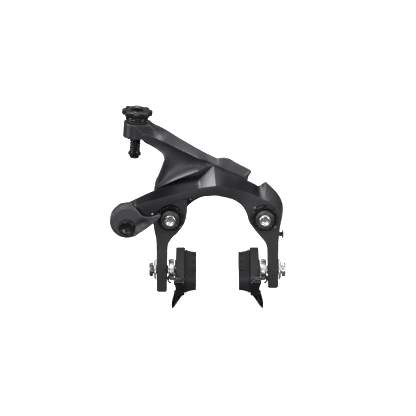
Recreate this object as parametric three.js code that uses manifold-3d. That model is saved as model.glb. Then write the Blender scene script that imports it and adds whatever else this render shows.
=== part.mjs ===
// Direct-mount road rim brake caliper, in millimetres, +Z up.
// The origin is midway between the two mounting bolts, on the plane that bears on the fork.
// The front of the caliper faces -Y. Seen from the front, +X is to the right.

import * as THREE from 'three';
import { mergeVertices } from 'three/addons/utils/BufferGeometryUtils.js';
import Module from 'manifold-3d';

const wasm = await Module();
wasm.setup();

// ---------------------------------------------------------------- driving dimensions

const GAP = 0.3;                  // running clearance between neighbouring pieces
const ROUND = 24;                 // sides of a turned piece
const BOLT_SPACING = 56;          // standard spacing of the two direct-mount bolts
const PIVOT_X = BOLT_SPACING / 2;

// depths, from the fork forwards
const PLATE_FRONT = -2.7;         // front of the booster plate, whose back bears on the fork
const ARM_BACK = -4.2;            // back of both arms
const RECESS_FRONT = -9.4;        // rear arm where the front arm crosses it
const WEB_FRONT = -12;            // rear arm's web
const PEAK_BACK = -10;            // back of the front arm's peak
const BOSS_FRONT = -17;           // front of both pivot bosses and both legs
const BEAM_BACK = -17.6;          // back of the front arm, left of its peak
const BEAM_FRONT = -25;           // front of the front arm, left of its peak
const RING_FRONT = -19.8;         // front of the lock rings
const BUSH_FRONT = -21.8;         // front of the pivot bushes
const BOLT_FRONT = -24.5;         // front of the mounting bolts' heads

// pivots
const BUSH_R = 6;
const BUSH_NECK_R = 5.4;
const RING_R = 8;
const MOUNT_BOLT_R = 3;
const MOUNT_BOLT_HEAD_R = 3.5;
const MOUNT_BOLT_TIP = 13;        // how far the bolts stand out behind the fork plane
const SPRING_MEAN_R = 7.6;
const SPRING_WIRE_R = 0.6;
const SPRING_POCKET_R = 8.6;
const SPRING_POCKET_FRONT = -10.4;

// legs and shoes
const LEG_INNER_X = 29.5;
const LEG_OUTER_X = 36.3;
const LEFT_LEG_BOTTOM = -47.4;
const RIGHT_LEG_BOTTOM = -44.9;
const SHOE_Y = -11;
const SHOE_Z = -35;
const SHOE_LENGTH = 54.5;
const SHOE_TRAVEL = 4;            // up and down in the leg's slot
const SHOE_BOLT_R = 2.5;
const SLOT_HALF_WIDTH = 3.4;
const WASHER_BALL_R = 12;         // spherical seat between the two inner washers
const WASHER_BALL_X = 39;         // where that sphere is centred
const PAD_FACE_X = 12.5;
const HOLDER_INNER_X = 19.3;
const HOLDER_OUTER_X = 24.9;
const RIM_R = 311;                // braking radius of a 700C rim, which the shoes follow
const PAD_SCREW_Y = -18.25;       // from the shoe's middle, towards the front
const PAD_SCREW_Z = -1.2;

// quick release and cable anchor
const LEVER_X = -53.4;
const LEVER_R = 10.2;
const LEVER_FRONT = -26;
const LEVER_BACK = -19;
const LEVER_TAIL_BACK = -20.3;
const EYE_FRONT = -18.6;
const EYE_BACK = -12.5;
const EYE_R = 8.6;
const HUB_R = 6.5;
const ANCHOR_DROP = 3.3;          // the anchor bolt sits this far below the lever's axis
const ANCHOR_R = 2.5;

// cable adjuster, on an axis that leans to the right
const ADJUSTER_X = -47.9;
const ADJUSTER_Y = -11;
const ADJUSTER_Z = 52.8;
const ADJUSTER_LEAN = THREE.MathUtils.degToRad(4);
const ADJUSTER_BOSS_R = 7.6;
const BARREL_R = 3.25;

// synchronising roller
const SYNC_Z = 21;
const CLOSED_ANGLE = THREE.MathUtils.degToRad(10);
const ROLLER_R = 3;
const TRACK_DEPTH = 5;
const CENTRING_X = 36.5;          // centring screw, in the outside of the front arm
const CENTRING_Z = -12.6;

// ---------------------------------------------------------------- finishes

const FINISH = {
  charcoal: new THREE.MeshStandardMaterial({ color: 0x36373b, roughness: 0.4, metalness: 0.6 }),
  black: new THREE.MeshStandardMaterial({ color: 0x121214, roughness: 0.35, metalness: 0.3 }),
  steel: new THREE.MeshStandardMaterial({ color: 0xb9bbbe, roughness: 0.25, metalness: 1 }),
  plate: new THREE.MeshStandardMaterial({ color: 0x1d1e21, roughness: 0.5, metalness: 0.5 }),
  rubber: new THREE.MeshStandardMaterial({ color: 0x1a1a1b, roughness: 0.85, metalness: 0 }),
  polymer: new THREE.MeshStandardMaterial({ color: 0x18181a, roughness: 0.6, metalness: 0 }),
};

// ---------------------------------------------------------------- solids and cuts

function toSolid(geometry) {
  const bare = geometry.clone();
  bare.deleteAttribute('normal');
  bare.deleteAttribute('uv');
  const merged = mergeVertices(bare, 1e-4);
  return new wasm.Manifold(new wasm.Mesh({
    numProp: 3,
    vertProperties: merged.attributes.position.array,
    triVerts: new Uint32Array(merged.index.array),
  }));
}

function toGeometry(solid) {
  const mesh = solid.getMesh();
  const geometry = new THREE.BufferGeometry();
  geometry.setAttribute('position', new THREE.BufferAttribute(mesh.vertProperties, 3));
  geometry.setIndex(new THREE.BufferAttribute(mesh.triVerts, 1));
  geometry.computeVertexNormals();
  return geometry;
}

function join(...geometries) {
  return toGeometry(geometries.map(toSolid).reduce((whole, piece) => whole.add(piece)));
}

function cut(geometry, ...tools) {
  return toGeometry(tools.map(toSolid).reduce((whole, tool) => whole.subtract(tool), toSolid(geometry)));
}

// ---------------------------------------------------------------- shapes

// A plate whose outline is given as [x, z] points, between two depths.
function plate(points, back, front) {
  const outline = () => new THREE.Shape(points.map(([x, z]) => new THREE.Vector2(x, z)));
  const shape = points instanceof THREE.Shape ? points : outline();
  const depth = back - front;
  const geometry = new THREE.ExtrudeGeometry(shape, { depth, bevelEnabled: false, curveSegments: 10 });
  return geometry.rotateX(Math.PI / 2).translate(0, back, 0);
}

// A bar whose section is given as [y, z] points, between two values of x.
function bar(points, left, right) {
  const shape = new THREE.Shape(points.map(([y, z]) => new THREE.Vector2(y, z)));
  const geometry = new THREE.ExtrudeGeometry(shape, { depth: right - left, bevelEnabled: false });
  return geometry.rotateX(Math.PI / 2).rotateZ(Math.PI / 2).translate(left, 0, 0);
}

// One side of an outline: a smooth run through [x, y, z] points.
function run(points, steps = 2) {
  const corners = points.map(([x, y, z]) => new THREE.Vector3(x, y, z));
  if (points.length === 2) return corners.slice(0, 1);
  const curve = new THREE.CatmullRomCurve3(corners, false, 'centripetal');
  return curve.getPoints(steps * (points.length - 1)).slice(0, -1);
}

// A forging between a back outline and a front outline, both lists of runs that close on themselves.
function forging(backRuns, frontRuns) {
  const back = backRuns.flatMap((points) => run(points));
  const front = frontRuns.flatMap((points) => run(points));
  const shape = new THREE.Shape(back.map((point) => new THREE.Vector2(point.x, point.z)));
  const geometry = new THREE.ExtrudeGeometry(shape, { depth: 1, bevelEnabled: false });
  const position = geometry.attributes.position;
  for (let i = 0; i < position.count; i += 1) {
    const x = position.getX(i);
    const z = position.getY(i);
    const k = back.findIndex((point) => Math.hypot(point.x - x, point.z - z) < 1e-3);
    const target = position.getZ(i) > 0.5 ? front[k] : back[k];
    position.setXYZ(i, target.x, target.y, target.z);
  }
  return geometry;
}

// A turned piece about the Y axis: [radius, y] points from the front axis point round to the back one.
function turned(profile, sides = ROUND) {
  return new THREE.LatheGeometry(profile.map(([r, y]) => new THREE.Vector2(r, y)), sides);
}

function rod(radius, back, front, x = 0, z = 0, sides = ROUND) {
  return new THREE.CylinderGeometry(radius, radius, back - front, sides).translate(x, (back + front) / 2, z);
}

function tube(outer, inner, back, front, sides = ROUND) {
  return turned([[inner, front], [outer, front], [outer, back], [inner, back], [inner, front]], sides);
}

function hexSocket(acrossFlats, back, front) {
  return rod(acrossFlats / Math.sqrt(3), back, front, 0, 0, 6);
}

const alongX = (geometry) => geometry.rotateZ(-Math.PI / 2);
const alongZ = (geometry) => geometry.rotateX(Math.PI / 2);

// ---------------------------------------------------------------- the model

const caliper = new THREE.Group();

function add(name, geometry, finish, parent = caliper) {
  const mesh = new THREE.Mesh(geometry, finish);
  mesh.name = name;
  parent.add(mesh);
  return mesh;
}

const flatRun = (y, runs) => runs.map((points) => points.map(([x, z]) => [x, y, z]));

// Booster plate: an arch behind both arms that ties the two bolts together.
function boosterPlate() {
  const shape = new THREE.Shape();
  const foot = 8.2;
  const inside = Math.PI * 0.05;
  const outside = Math.PI * 0.62;
  shape.absarc(-PIVOT_X, 0, foot, outside, 2 * Math.PI - inside, false);
  shape.quadraticCurveTo(-14, 8.5, 0, 9.5);
  shape.quadraticCurveTo(14, 8.5, PIVOT_X - foot * Math.cos(inside), -foot * Math.sin(inside));
  shape.absarc(PIVOT_X, 0, foot, Math.PI + inside, 3 * Math.PI - outside, false);
  shape.quadraticCurveTo(15, 16.5, 0, 17.5);
  shape.quadraticCurveTo(-15, 16.5, -PIVOT_X + foot * Math.cos(outside), foot * Math.sin(outside));
  const blank = plate(shape, 0, PLATE_FRONT);
  const hole = MOUNT_BOLT_R + 0.4;
  return cut(blank, rod(hole, 1, -4, -PIVOT_X), rod(hole, 1, -4, PIVOT_X));
}

// Pivot bush: the steel sleeve that an arm turns on, open for the mounting bolt.
function pivotBush() {
  const bore = MOUNT_BOLT_R + GAP;
  const seat = MOUNT_BOLT_HEAD_R + 0.4;
  const back = PLATE_FRONT - GAP;
  return turned([
    [seat, BUSH_FRONT], [BUSH_NECK_R, BUSH_FRONT], [BUSH_NECK_R, BOSS_FRONT], [BUSH_R, BOSS_FRONT],
    [BUSH_R, back], [bore, back], [bore, BUSH_FRONT + 1.4], [seat, BUSH_FRONT + 1.4], [seat, BUSH_FRONT],
  ]);
}

function mountingBolt() {
  const under = BUSH_FRONT + 1.1;
  const blank = turned([
    [0, BOLT_FRONT], [MOUNT_BOLT_HEAD_R - 0.4, BOLT_FRONT], [MOUNT_BOLT_HEAD_R, BOLT_FRONT + 0.5],
    [MOUNT_BOLT_HEAD_R, under], [MOUNT_BOLT_R, under], [MOUNT_BOLT_R, MOUNT_BOLT_TIP - 1],
    [MOUNT_BOLT_R - 0.8, MOUNT_BOLT_TIP], [0, MOUNT_BOLT_TIP],
  ]);
  return cut(blank, hexSocket(4, BOLT_FRONT + 2.6, BOLT_FRONT - 1));
}

// Lock ring: a notched ring nut that keeps the arm on its bush.
function lockRing() {
  const notches = 8;
  const back = BOSS_FRONT - GAP;
  const tools = [];
  for (let i = 0; i < notches; i += 1) {
    const notch = new THREE.BoxGeometry(1.8, 2, 1.8).translate(RING_R - 0.2, RING_FRONT, 0);
    tools.push(notch.rotateY((i * 2 * Math.PI) / notches));
  }
  return cut(tube(RING_R, BUSH_NECK_R + GAP, back, RING_FRONT), ...tools);
}

// Return spring: close turns round the bush, in the pocket in the back of the arm.
class SpringCoil extends THREE.Curve {
  constructor(turns, pitch) {
    super();
    this.turns = turns;
    this.pitch = pitch;
  }

  getPoint(t, target = new THREE.Vector3()) {
    const angle = t * this.turns * 2 * Math.PI;
    const y = SPRING_POCKET_FRONT + 1.1 + t * this.turns * this.pitch;
    return target.set(SPRING_MEAN_R * Math.cos(angle), y, SPRING_MEAN_R * Math.sin(angle));
  }
}

function returnSpring(side) {
  const turns = 2.75;
  const section = new THREE.Shape().absarc(0, 0, SPRING_WIRE_R, 0, 2 * Math.PI);
  const pitch = 1.55;
  const coil = new THREE.ExtrudeGeometry(section, {
    steps: Math.round(turns * 14),
    curveSegments: 3,
    bevelEnabled: false,
    extrudePath: new SpringCoil(turns, pitch),
  });
  return side > 0 ? coil : coil.rotateY(Math.PI);
}

function pivotBore(x) {
  return rod(BUSH_R + GAP, 0, -30, x);
}

function springPocket(x) {
  return rod(SPRING_POCKET_R, 0, SPRING_POCKET_FRONT, x);
}

// The slot that the shoe's bolt slides up and down in.
function shoeSlot(side) {
  const half = SHOE_TRAVEL + SHOE_BOLT_R + 0.4 - SLOT_HALF_WIDTH;
  const left = side > 0 ? LEG_INNER_X - 3 : -LEG_OUTER_X - 3;
  const right = left + LEG_OUTER_X - LEG_INNER_X + 6;
  const points = [];
  for (let i = 0; i <= 16; i += 1) {
    const angle = (i * Math.PI) / 8;
    const end = i < 8 ? half : -half;
    points.push([
      SHOE_Y + SLOT_HALF_WIDTH * Math.cos(angle),
      SHOE_Z + end + SLOT_HALF_WIDTH * Math.sin(angle),
    ]);
  }
  points.splice(8, 0, [SHOE_Y - SLOT_HALF_WIDTH, SHOE_Z + half]);
  points.pop();
  return bar(points, left, right);
}

// Where the roller, which rides on the rear arm, runs as seen from the front arm.
function rollerTrack() {
  const steps = 8;
  const reach = ROLLER_R + GAP;
  const centres = [];
  for (let i = 0; i <= steps; i += 1) {
    const turn = (CLOSED_ANGLE * i) / steps;
    const x = -PIVOT_X + PIVOT_X * Math.cos(turn) - SYNC_Z * Math.sin(turn) - PIVOT_X;
    const z = SYNC_Z * Math.cos(turn) + PIVOT_X * Math.sin(turn);
    const back = new THREE.Vector2(x, z).rotateAround(new THREE.Vector2(), turn);
    centres.push(back.add(new THREE.Vector2(PIVOT_X, 0)));
  }
  const along = centres[steps].clone().sub(centres[0]).normalize();
  const heading = Math.atan2(along.y, along.x);
  const shape = new THREE.Shape();
  centres.forEach((point) => {
    const edge = point.clone().add(new THREE.Vector2(-along.y, along.x).multiplyScalar(reach));
    if (point === centres[0]) shape.moveTo(edge.x, edge.y);
    else shape.lineTo(edge.x, edge.y);
  });
  shape.absarc(centres[steps].x, centres[steps].y, reach, heading + Math.PI / 2, heading - Math.PI / 2, true);
  centres.slice().reverse().forEach((point) => {
    const edge = point.clone().add(new THREE.Vector2(along.y, -along.x).multiplyScalar(reach));
    shape.lineTo(edge.x, edge.y);
  });
  shape.absarc(centres[0].x, centres[0].y, reach, heading - Math.PI / 2, heading - Math.PI * 1.5, true);
  return plate(shape, PEAK_BACK + 3, PEAK_BACK - TRACK_DEPTH);
}

// Front arm, left of its peak: a long tapering beam with a sloping top facet.
function frontBeam() {
  return forging(flatRun(BEAM_BACK, [
    [[-58.5, 7.7], [-48, 12.3], [-38, 16.9], [-30, 19.6], [-20, 21.9], [-9, 24.2]],
    [[-9, 24.2], [-9, 15.6]],
    [[-9, 15.6], [-18.6, 13.8], [-27, 10.9], [-32.9, 8.2], [-35.5, 5.6]],
    [[-35.5, 5.6], [-40.5, 4], [-46, 3.4], [-50, 4]],
    [[-50, 4], [-58.5, 7.7]],
  ]), flatRun(BEAM_FRONT, [
    [[-48.6, 10.2], [-45, 11.5], [-35.5, 14.2], [-27, 16.7], [-18.6, 18.8], [-9, 20.9]],
    [[-9, 20.9], [-9, 15]],
    [[-9, 15], [-18.6, 13.6], [-27, 10.7], [-32.9, 8], [-35.5, 5.4]],
    [[-35.5, 5.4], [-40.5, 3.9], [-43.1, 4.1], [-46, 6.2]],
    [[-46, 6.2], [-48.6, 10.2]],
  ]));
}

// Front arm, from its faceted peak to the pivot boss. Its front comes back towards the boss.
function frontPeak() {
  const front = BEAM_FRONT;
  return forging(flatRun(PEAK_BACK, [
    [[-12, 15.4], [-12, 22.6]],
    [[-12, 22.6], [-2.4, 30.2]],
    [[-2.4, 30.2], [8, 25.4], [17.8, 20.9], [24, 16.9], [28, 12]],
    [[28, 12], [22, 2]],
    [[22, 2], [16.9, 3.2], [14.4, 7.4], [9.3, 11.7], [3.4, 14.2], [-1.4, 15.4], [-12, 15.4]],
  ]), [
    [[-12, front, 14.7], [-12, front, 20.1]],
    [[-12, front, 20.1], [-1, front + 0.6, 22]],
    [
      [-1, front + 0.6, 22], [8, front + 3.6, 19.5], [15.2, front + 6, 16.7], [21, BOSS_FRONT, 14.3],
      [28, BOSS_FRONT, 10.6],
    ],
    [[28, BOSS_FRONT, 10.6], [22, BOSS_FRONT, 2]],
    [
      [22, BOSS_FRONT, 2], [16.9, front + 7.5, 2.8], [14.4, front + 6.5, 7.1], [9.3, front + 4.5, 11.4],
      [3.4, front + 2.5, 13.8], [-1.4, front + 0.8, 15.1], [-12, front, 14.7],
    ],
  ]);
}

// Front arm: pivot boss with its shoulder, and the leg under it.
function frontBossAndLeg() {
  const leg = (inset) => [
    [[36.5 - inset, -16], [LEG_OUTER_X, RIGHT_LEG_BOTTOM + 1]],
    [[LEG_OUTER_X, RIGHT_LEG_BOTTOM + 1], [LEG_OUTER_X - 1, RIGHT_LEG_BOTTOM]],
    [[LEG_OUTER_X - 1, RIGHT_LEG_BOTTOM], [LEG_INNER_X + 0.5, RIGHT_LEG_BOTTOM]],
    [[LEG_INNER_X + 0.5, RIGHT_LEG_BOTTOM], [LEG_INNER_X, -20]],
    [[LEG_INNER_X, -20], [28.6, -16.8], [25.3, -12.2], [22, -8.1], [18.6, -2.8], [17.2, 2.5]],
  ];
  return forging(flatRun(ARM_BACK, [
    [[24.1, 15.1], [28.6, 18.3]],
    [[28.6, 18.3], [33.3, 13.8], [36.8, 9.3], [38.7, 4.9], [38.9, -2.8], [37.6, -9.8], [36.5, -16]],
    ...leg(0),
    [[17.2, 2.5], [18.4, 8.5], [24.1, 15.1]],
  ]), flatRun(BOSS_FRONT, [
    [[24.1, 12.6], [28.4, 10.8]],
    [[28.4, 10.8], [31.6, 9.2], [34.5, 6.4], [36.4, 2.7], [37, -1.6], [36.9, -8], [36.4, -16]],
    ...leg(0.1),
    [[17.2, 2.5], [18.4, 8], [24.1, 12.6]],
  ]));
}

// The eye at the left end of the front arm, behind the quick-release lever.
function leverEye() {
  const shape = new THREE.Shape();
  shape.absarc(LEVER_X, 0, EYE_R, Math.PI * 0.6, Math.PI * 1.72, false);
  shape.lineTo(-39.6, 5);
  shape.lineTo(-39.6, 13.6);
  return plate(shape, EYE_BACK, EYE_FRONT);
}

function frontArm() {
  const blank = join(frontBeam(), frontPeak(), frontBossAndLeg(), leverEye());
  return cut(
    blank,
    pivotBore(PIVOT_X),
    springPocket(PIVOT_X),
    rod(RING_R + GAP, BOSS_FRONT, -30, PIVOT_X),
    rod(HUB_R + GAP, -5, -30, LEVER_X),
    rod(LEVER_R + 0.4, EYE_FRONT - 0.05, -30, LEVER_X, 0, 40),
    rollerTrack(),
    shoeSlot(1),
    alongX(rod(1.6, 4, -4)).translate(CENTRING_X, SHOE_Y, CENTRING_Z),
  );
}

// Rear arm: pivot boss and leg.
function rearBossAndLeg() {
  const outer = [[-36.3, -20], [-36.5, -14], [-37.6, -8], [-38.3, -2], [-38.1, 5], [-37.6, 12]];
  const inner = [[-18, 2.5], [-19.3, -3.5], [-23.6, -10], [-27.4, -14], [-29.2, -17.5], [-LEG_INNER_X, -20]];
  const runs = [
    outer,
    [[-37.6, 12], [-18, 12]],
    [[-18, 12], [-18, 2.5]],
    inner,
    [[-LEG_INNER_X, -20], [-LEG_INNER_X - 0.5, LEFT_LEG_BOTTOM]],
    [[-LEG_INNER_X - 0.5, LEFT_LEG_BOTTOM], [-LEG_OUTER_X + 1, LEFT_LEG_BOTTOM]],
    [[-LEG_OUTER_X + 1, LEFT_LEG_BOTTOM], [-LEG_OUTER_X, LEFT_LEG_BOTTOM + 1]],
    [[-LEG_OUTER_X, LEFT_LEG_BOTTOM + 1], [-36.3, -20]],
  ];
  return forging(flatRun(ARM_BACK, runs), flatRun(BOSS_FRONT, runs));
}

// Rear arm: the thin part that the front arm crosses, with the lug that holds the roller's pin.
function rearRecess() {
  return plate([
    [-37.7, 8], [-36.9, 19.2], [-35, 22.8], [-32.9, 28.5], [-31.7, 33], [-30, 38], [-18.6, 37], [-1.6, 29.5],
    [16.5, 21.6], [16, 19.8], [5.4, 22], [4.4, 18.2], [2.4, 16.8], [-2.4, 16.8], [-4.6, 18.5], [-12, 14],
    [-18, 8], [-20, 2],
  ], ARM_BACK, RECESS_FRONT);
}

// Rear arm: the upper beam with its long top bevel, from the adjuster to its right end.
function rearBeam() {
  const back = flatRun(ARM_BACK, [
    [[-43, 56.4], [-38.4, 55], [-32.9, 52.4], [-18.6, 43.2], [-6.8, 36.2], [0, 32.8]],
    [[0, 32.8], [3.4, 33.4], [7.2, 32.6], [10.1, 30.8], [19.6, 25.6]],
    [[19.6, 25.6], [20.3, 24.2]],
    [[20.3, 24.2], [17.7, 20]],
    [[17.7, 20], [-3, 24], [-10, 24], [-24.4, 20], [-34, 18]],
    [
      [-34, 18], [-35, 22.8], [-32.9, 28.5], [-31.7, 33], [-32.2, 36.5], [-34.6, 39.7], [-39.6, 43.7],
      [-44, 47.2],
    ],
    [[-44, 47.2], [-43, 56.4]],
  ]);
  const web = WEB_FRONT;
  const thin = RECESS_FRONT;
  const neck = WEB_FRONT - 4;
  const front = [
    [
      [-43, neck, 54.4], [-40, neck + 1, 49.6], [-35.5, web, 45.4], [-18.6, web, 38.3], [-12, web, 35.3],
      [-6, thin, 32.6], [-1.6, thin, 30.6],
    ],
    [[-1.6, thin, 30.6], [2, thin, 29], [6, thin, 27.1], [10.1, thin, 25.2], [16.6, thin, 22.1]],
    [[16.6, thin, 22.1], [17.2, thin, 21.4]],
    [[17.2, thin, 21.4], [16.4, thin, 20.4]],
    [[16.4, thin, 20.4], [-5, thin, 28.8], [-10, web, 27.6], [-24.4, web, 21.8], [-34, web, 17.6]],
    [
      [-34, web, 17.6], [-35, web, 22.8], [-32.9, web, 28.5], [-31.5, web, 33], [-32, web, 36.5],
      [-34.6, web, 39.7], [-39.6, neck + 1, 43.7], [-44, neck, 47.2],
    ],
    [[-44, neck, 47.2], [-43, neck, 54.4]],
  ];
  return forging(back, front);
}

function adjusterFrame(geometry) {
  return geometry.rotateY(ADJUSTER_LEAN).translate(ADJUSTER_X, ADJUSTER_Y, ADJUSTER_Z);
}

function rearArm() {
  const boss = adjusterFrame(alongZ(rod(ADJUSTER_BOSS_R, 4.6, -4.6)));
  const blank = join(rearBossAndLeg(), rearRecess(), rearBeam(), boss);
  return cut(
    blank,
    pivotBore(-PIVOT_X),
    springPocket(-PIVOT_X),
    adjusterFrame(alongZ(rod(BARREL_R + GAP, 10, -10))),
    rod(1.5 + GAP, ARM_BACK + 1, RECESS_FRONT - 1, 0, SYNC_Z),
    shoeSlot(-1),
  );
}

function syncPin() {
  return turned([[0, -15], [1.2, -15], [1.5, -14.7], [1.5, ARM_BACK - 0.2], [0, ARM_BACK - 0.2]], 24);
}

function syncRoller() {
  return tube(ROLLER_R, 1.5 + GAP, RECESS_FRONT - 0.5, PEAK_BACK - TRACK_DEPTH + 0.4, 24);
}

// Centring screw: a small black screw in the outside of the front arm.
function centringScrew() {
  const blank = turned([[0, -1.6], [1.3, -1.6], [1.3, 1.7], [2.4, 1.7], [2.4, 2.5], [2, 2.9], [0, 2.9]], 24);
  return alongX(cut(blank, new THREE.CylinderGeometry(1.15, 1.15, 2, 6).translate(0, 2.9, 0)));
}

// Quick-release lever: a round head with a tail, and a hub that turns in the front arm's eye.
function quickReleaseLever() {
  const shape = new THREE.Shape();
  shape.absarc(0, 0, LEVER_R, Math.PI * 0.33, Math.PI * 1.72, false);
  shape.quadraticCurveTo(10, -5.6, 14.6, -1.9);
  shape.quadraticCurveTo(18, 0.8, 19.4, 2.6);
  shape.quadraticCurveTo(20, 4.2, 18.2, 4.6);
  shape.quadraticCurveTo(12.9, 2.6, 10.5, 3.3);
  shape.quadraticCurveTo(8.2, 4.2, 7, 6.4);
  const head = rod(LEVER_R, LEVER_BACK, LEVER_TAIL_BACK - 0.5, 0, 0, 40);
  const hub = rod(HUB_R, EYE_BACK + GAP, LEVER_BACK - 1);
  return cut(
    join(plate(shape, LEVER_TAIL_BACK, LEVER_FRONT), head, hub),
    rod(ANCHOR_R + GAP, 0, -30, 0, -ANCHOR_DROP),
    rod(5, LEVER_FRONT + 1.7, -30, 0, -ANCHOR_DROP),
  );
}

function cableAnchorBolt() {
  const front = LEVER_FRONT - 0.8;
  const under = LEVER_FRONT + 1.4;
  const blank = turned([
    [0, front], [4.3, front], [4.7, front + 0.4], [4.7, under], [ANCHOR_R, under], [ANCHOR_R, -6], [0, -6],
  ]);
  return cut(blank, hexSocket(5, front + 1.6, front - 1));
}

function cableClampPlate() {
  const blank = tube(5.2, ANCHOR_R + GAP, EYE_BACK + 2.1, EYE_BACK + 0.6);
  return cut(blank, new THREE.BoxGeometry(12, 2, 4).translate(0, EYE_BACK + 1.4, 6.2));
}

function cableAnchorNut() {
  return cut(rod(5, -6.4, -9, 0, 0, 6), rod(ANCHOR_R + GAP, 0, -30));
}

// Adjuster, drawn along Z about its own centre in the rear arm's boss.
function adjusterKnob() {
  const lobes = 8;
  const shape = new THREE.Shape();
  const sides = 64;
  for (let i = 0; i < sides; i += 1) {
    const angle = (i * 2 * Math.PI) / sides;
    const r = 8.95 + 0.45 * Math.cos(lobes * angle);
    if (i === 0) shape.moveTo(r, 0);
    else shape.lineTo(r * Math.cos(angle), r * Math.sin(angle));
  }
  const disc = new THREE.ExtrudeGeometry(shape, { depth: 3.8, bevelEnabled: false }).translate(0, 0, 8.6);
  const neck = alongZ(rod(6.2, -6.1, -9)).rotateX(Math.PI);
  const bore = alongZ(rod(BARREL_R + GAP, 2, -18));
  return cut(join(disc, neck), bore.rotateX(Math.PI));
}

function adjusterBarrel() {
  const r = BARREL_R;
  const profile = [
    [1.2, -17.6], [2.5, -17.6], [r - 0.2, -16.6], [r - 0.2, -15.6], [3.9, -15.6], [3.9, -14],
    [r, -14], [r, 11], [2.4, 11], [2.4, 4], [1.2, 4], [1.2, -17.6],
  ];
  const blank = turned(profile).rotateX(Math.PI / 2);
  return cut(blank, new THREE.BoxGeometry(1.4, 2, 8.6).translate(0, -r, -9.6));
}

function adjusterSeal() {
  return turned([[3.9, 5], [5.8, 5], [5.8, 5.8], [3.9, 5.8], [3.9, 5]]).rotateX(Math.PI / 2);
}

// ---- brake shoes. The outline follows the rim, so both ends drop a little.

function shoeSection(halfHeight, halfLength, nose) {
  const points = [];
  const steps = 6;
  const drop = (y) => RIM_R - Math.sqrt(RIM_R * RIM_R - y * y);
  for (let i = 0; i <= steps; i += 1) {
    const y = -halfLength + (2 * halfLength * i) / steps;
    points.push([y, halfHeight - drop(y) - (i === 0 || i === steps ? nose : 0)]);
  }
  for (let i = steps; i >= 0; i -= 1) {
    const y = -halfLength + (2 * halfLength * i) / steps;
    points.push([y, -halfHeight - drop(y) + (i === 0 || i === steps ? nose : 0)]);
  }
  return points;
}

function sideBar(side, points, inner, outer) {
  return side > 0 ? bar(points, inner, outer) : bar(points, -outer, -inner);
}

function sideRod(side, radius, inner, outer, sides = ROUND) {
  const length = outer - inner;
  const geometry = new THREE.CylinderGeometry(radius, radius, length, sides);
  return geometry.rotateZ(Math.PI / 2).translate(side * (inner + outer) / 2, 0, 0);
}

// A turned piece on the shoe bolt's axis: [radius, distance from the wheel's plane].
function sideTurned(side, profile) {
  return turned(profile).rotateZ(side > 0 ? -Math.PI / 2 : Math.PI / 2);
}

function shoeHolder(side) {
  const half = SHOE_LENGTH / 2;
  const body = sideBar(side, shoeSection(6, half, 0.8), HOLDER_INNER_X, HOLDER_OUTER_X);
  const boss = sideRod(side, 6, HOLDER_OUTER_X - 0.5, HOLDER_OUTER_X + 0.5);
  const finOutline = [[19.9, -6.2], [25.4, -6.2], [27.2, -15.2], [26.4, -15.6]];
  const fin = plate(finOutline.map(([x, z]) => [side * x, z]), -half + 7, -half + 2.4);
  const floor = HOLDER_INNER_X + 2.5;
  const channel = sideBar(side, shoeSection(4.2, half - 2, 0), HOLDER_INNER_X - 1, floor);
  const mouthOutline = [[half - 6, -4.4], [half + 3, -5.2], [half + 3, 3], [half - 6, 3.9]];
  const mouth = sideBar(side, mouthOutline, HOLDER_INNER_X - 1, floor);
  const tapped = sideRod(side, SHOE_BOLT_R + GAP, HOLDER_INNER_X, HOLDER_OUTER_X + 3);
  const screwHole = sideRod(side, 1.9, HOLDER_INNER_X, HOLDER_OUTER_X + 3);
  screwHole.translate(0, PAD_SCREW_Y, PAD_SCREW_Z);
  return cut(join(body, boss, fin), channel, mouth, tapped, screwHole);
}

function brakePad(side) {
  const half = SHOE_LENGTH / 2 - 2.3;
  const blank = sideBar(side, shoeSection(3.8, half, 1.2), PAD_FACE_X, HOLDER_INNER_X + 2.2);
  const groove = new THREE.BoxGeometry(4, 1.6, 12).translate(side * (PAD_FACE_X + 0.4), 0, 0);
  const grooves = [-11.5, 3, 17].map((y) => groove.clone().translate(0, y, 0));
  return cut(blank, ...grooves);
}

function padScrew(side) {
  const inner = HOLDER_INNER_X + 2.5;
  const blank = sideRod(side, 1.6, inner, HOLDER_OUTER_X + 0.3, 16);
  const socket = sideRod(side, 0.8, HOLDER_OUTER_X - 1.2, HOLDER_OUTER_X + 2, 6);
  return cut(blank, socket).translate(0, PAD_SCREW_Y, PAD_SCREW_Z);
}

const seat = (r, radius) => WASHER_BALL_X - Math.sqrt(radius * radius - r * r);

function cupWasher(side) {
  const back = HOLDER_OUTER_X + 0.8;
  const radius = WASHER_BALL_R + GAP;
  return sideTurned(side, [
    [3, back], [6.6, back], [6.6, seat(6.3, radius)], [6.3, seat(6.3, radius)], [4.7, seat(4.7, radius)],
    [3, seat(3, radius)], [3, back],
  ]);
}

function ballWasher(side) {
  const back = LEG_INNER_X - GAP;
  return sideTurned(side, [
    [3.9, seat(3.9, WASHER_BALL_R)], [4.9, seat(4.9, WASHER_BALL_R)], [6.3, seat(6.3, WASHER_BALL_R)],
    [6.3, back], [3.9, back], [3.9, seat(3.9, WASHER_BALL_R)],
  ]);
}

function outerWasher(side) {
  const face = LEG_OUTER_X + GAP;
  return sideTurned(side, [
    [3.6, face], [6.2, face], [6.2, face + 0.7], [4.8, face + 1.3], [3.6, face + 0.9], [3.6, face],
  ]);
}

function shoeBolt(side) {
  const under = LEG_OUTER_X + 2;
  const tip = HOLDER_INNER_X + 3;
  const blank = sideTurned(side, [
    [0, tip], [SHOE_BOLT_R, tip], [SHOE_BOLT_R, under], [4.3, under], [4.3, under + 1.6],
    [3.6, under + 2.4], [0, under + 2.4],
  ]);
  return cut(blank, sideRod(side, 2.3, under + 0.9, under + 4, 6));
}

// ---------------------------------------------------------------- assembly

add('booster_plate', boosterPlate(), FINISH.plate);

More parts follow.
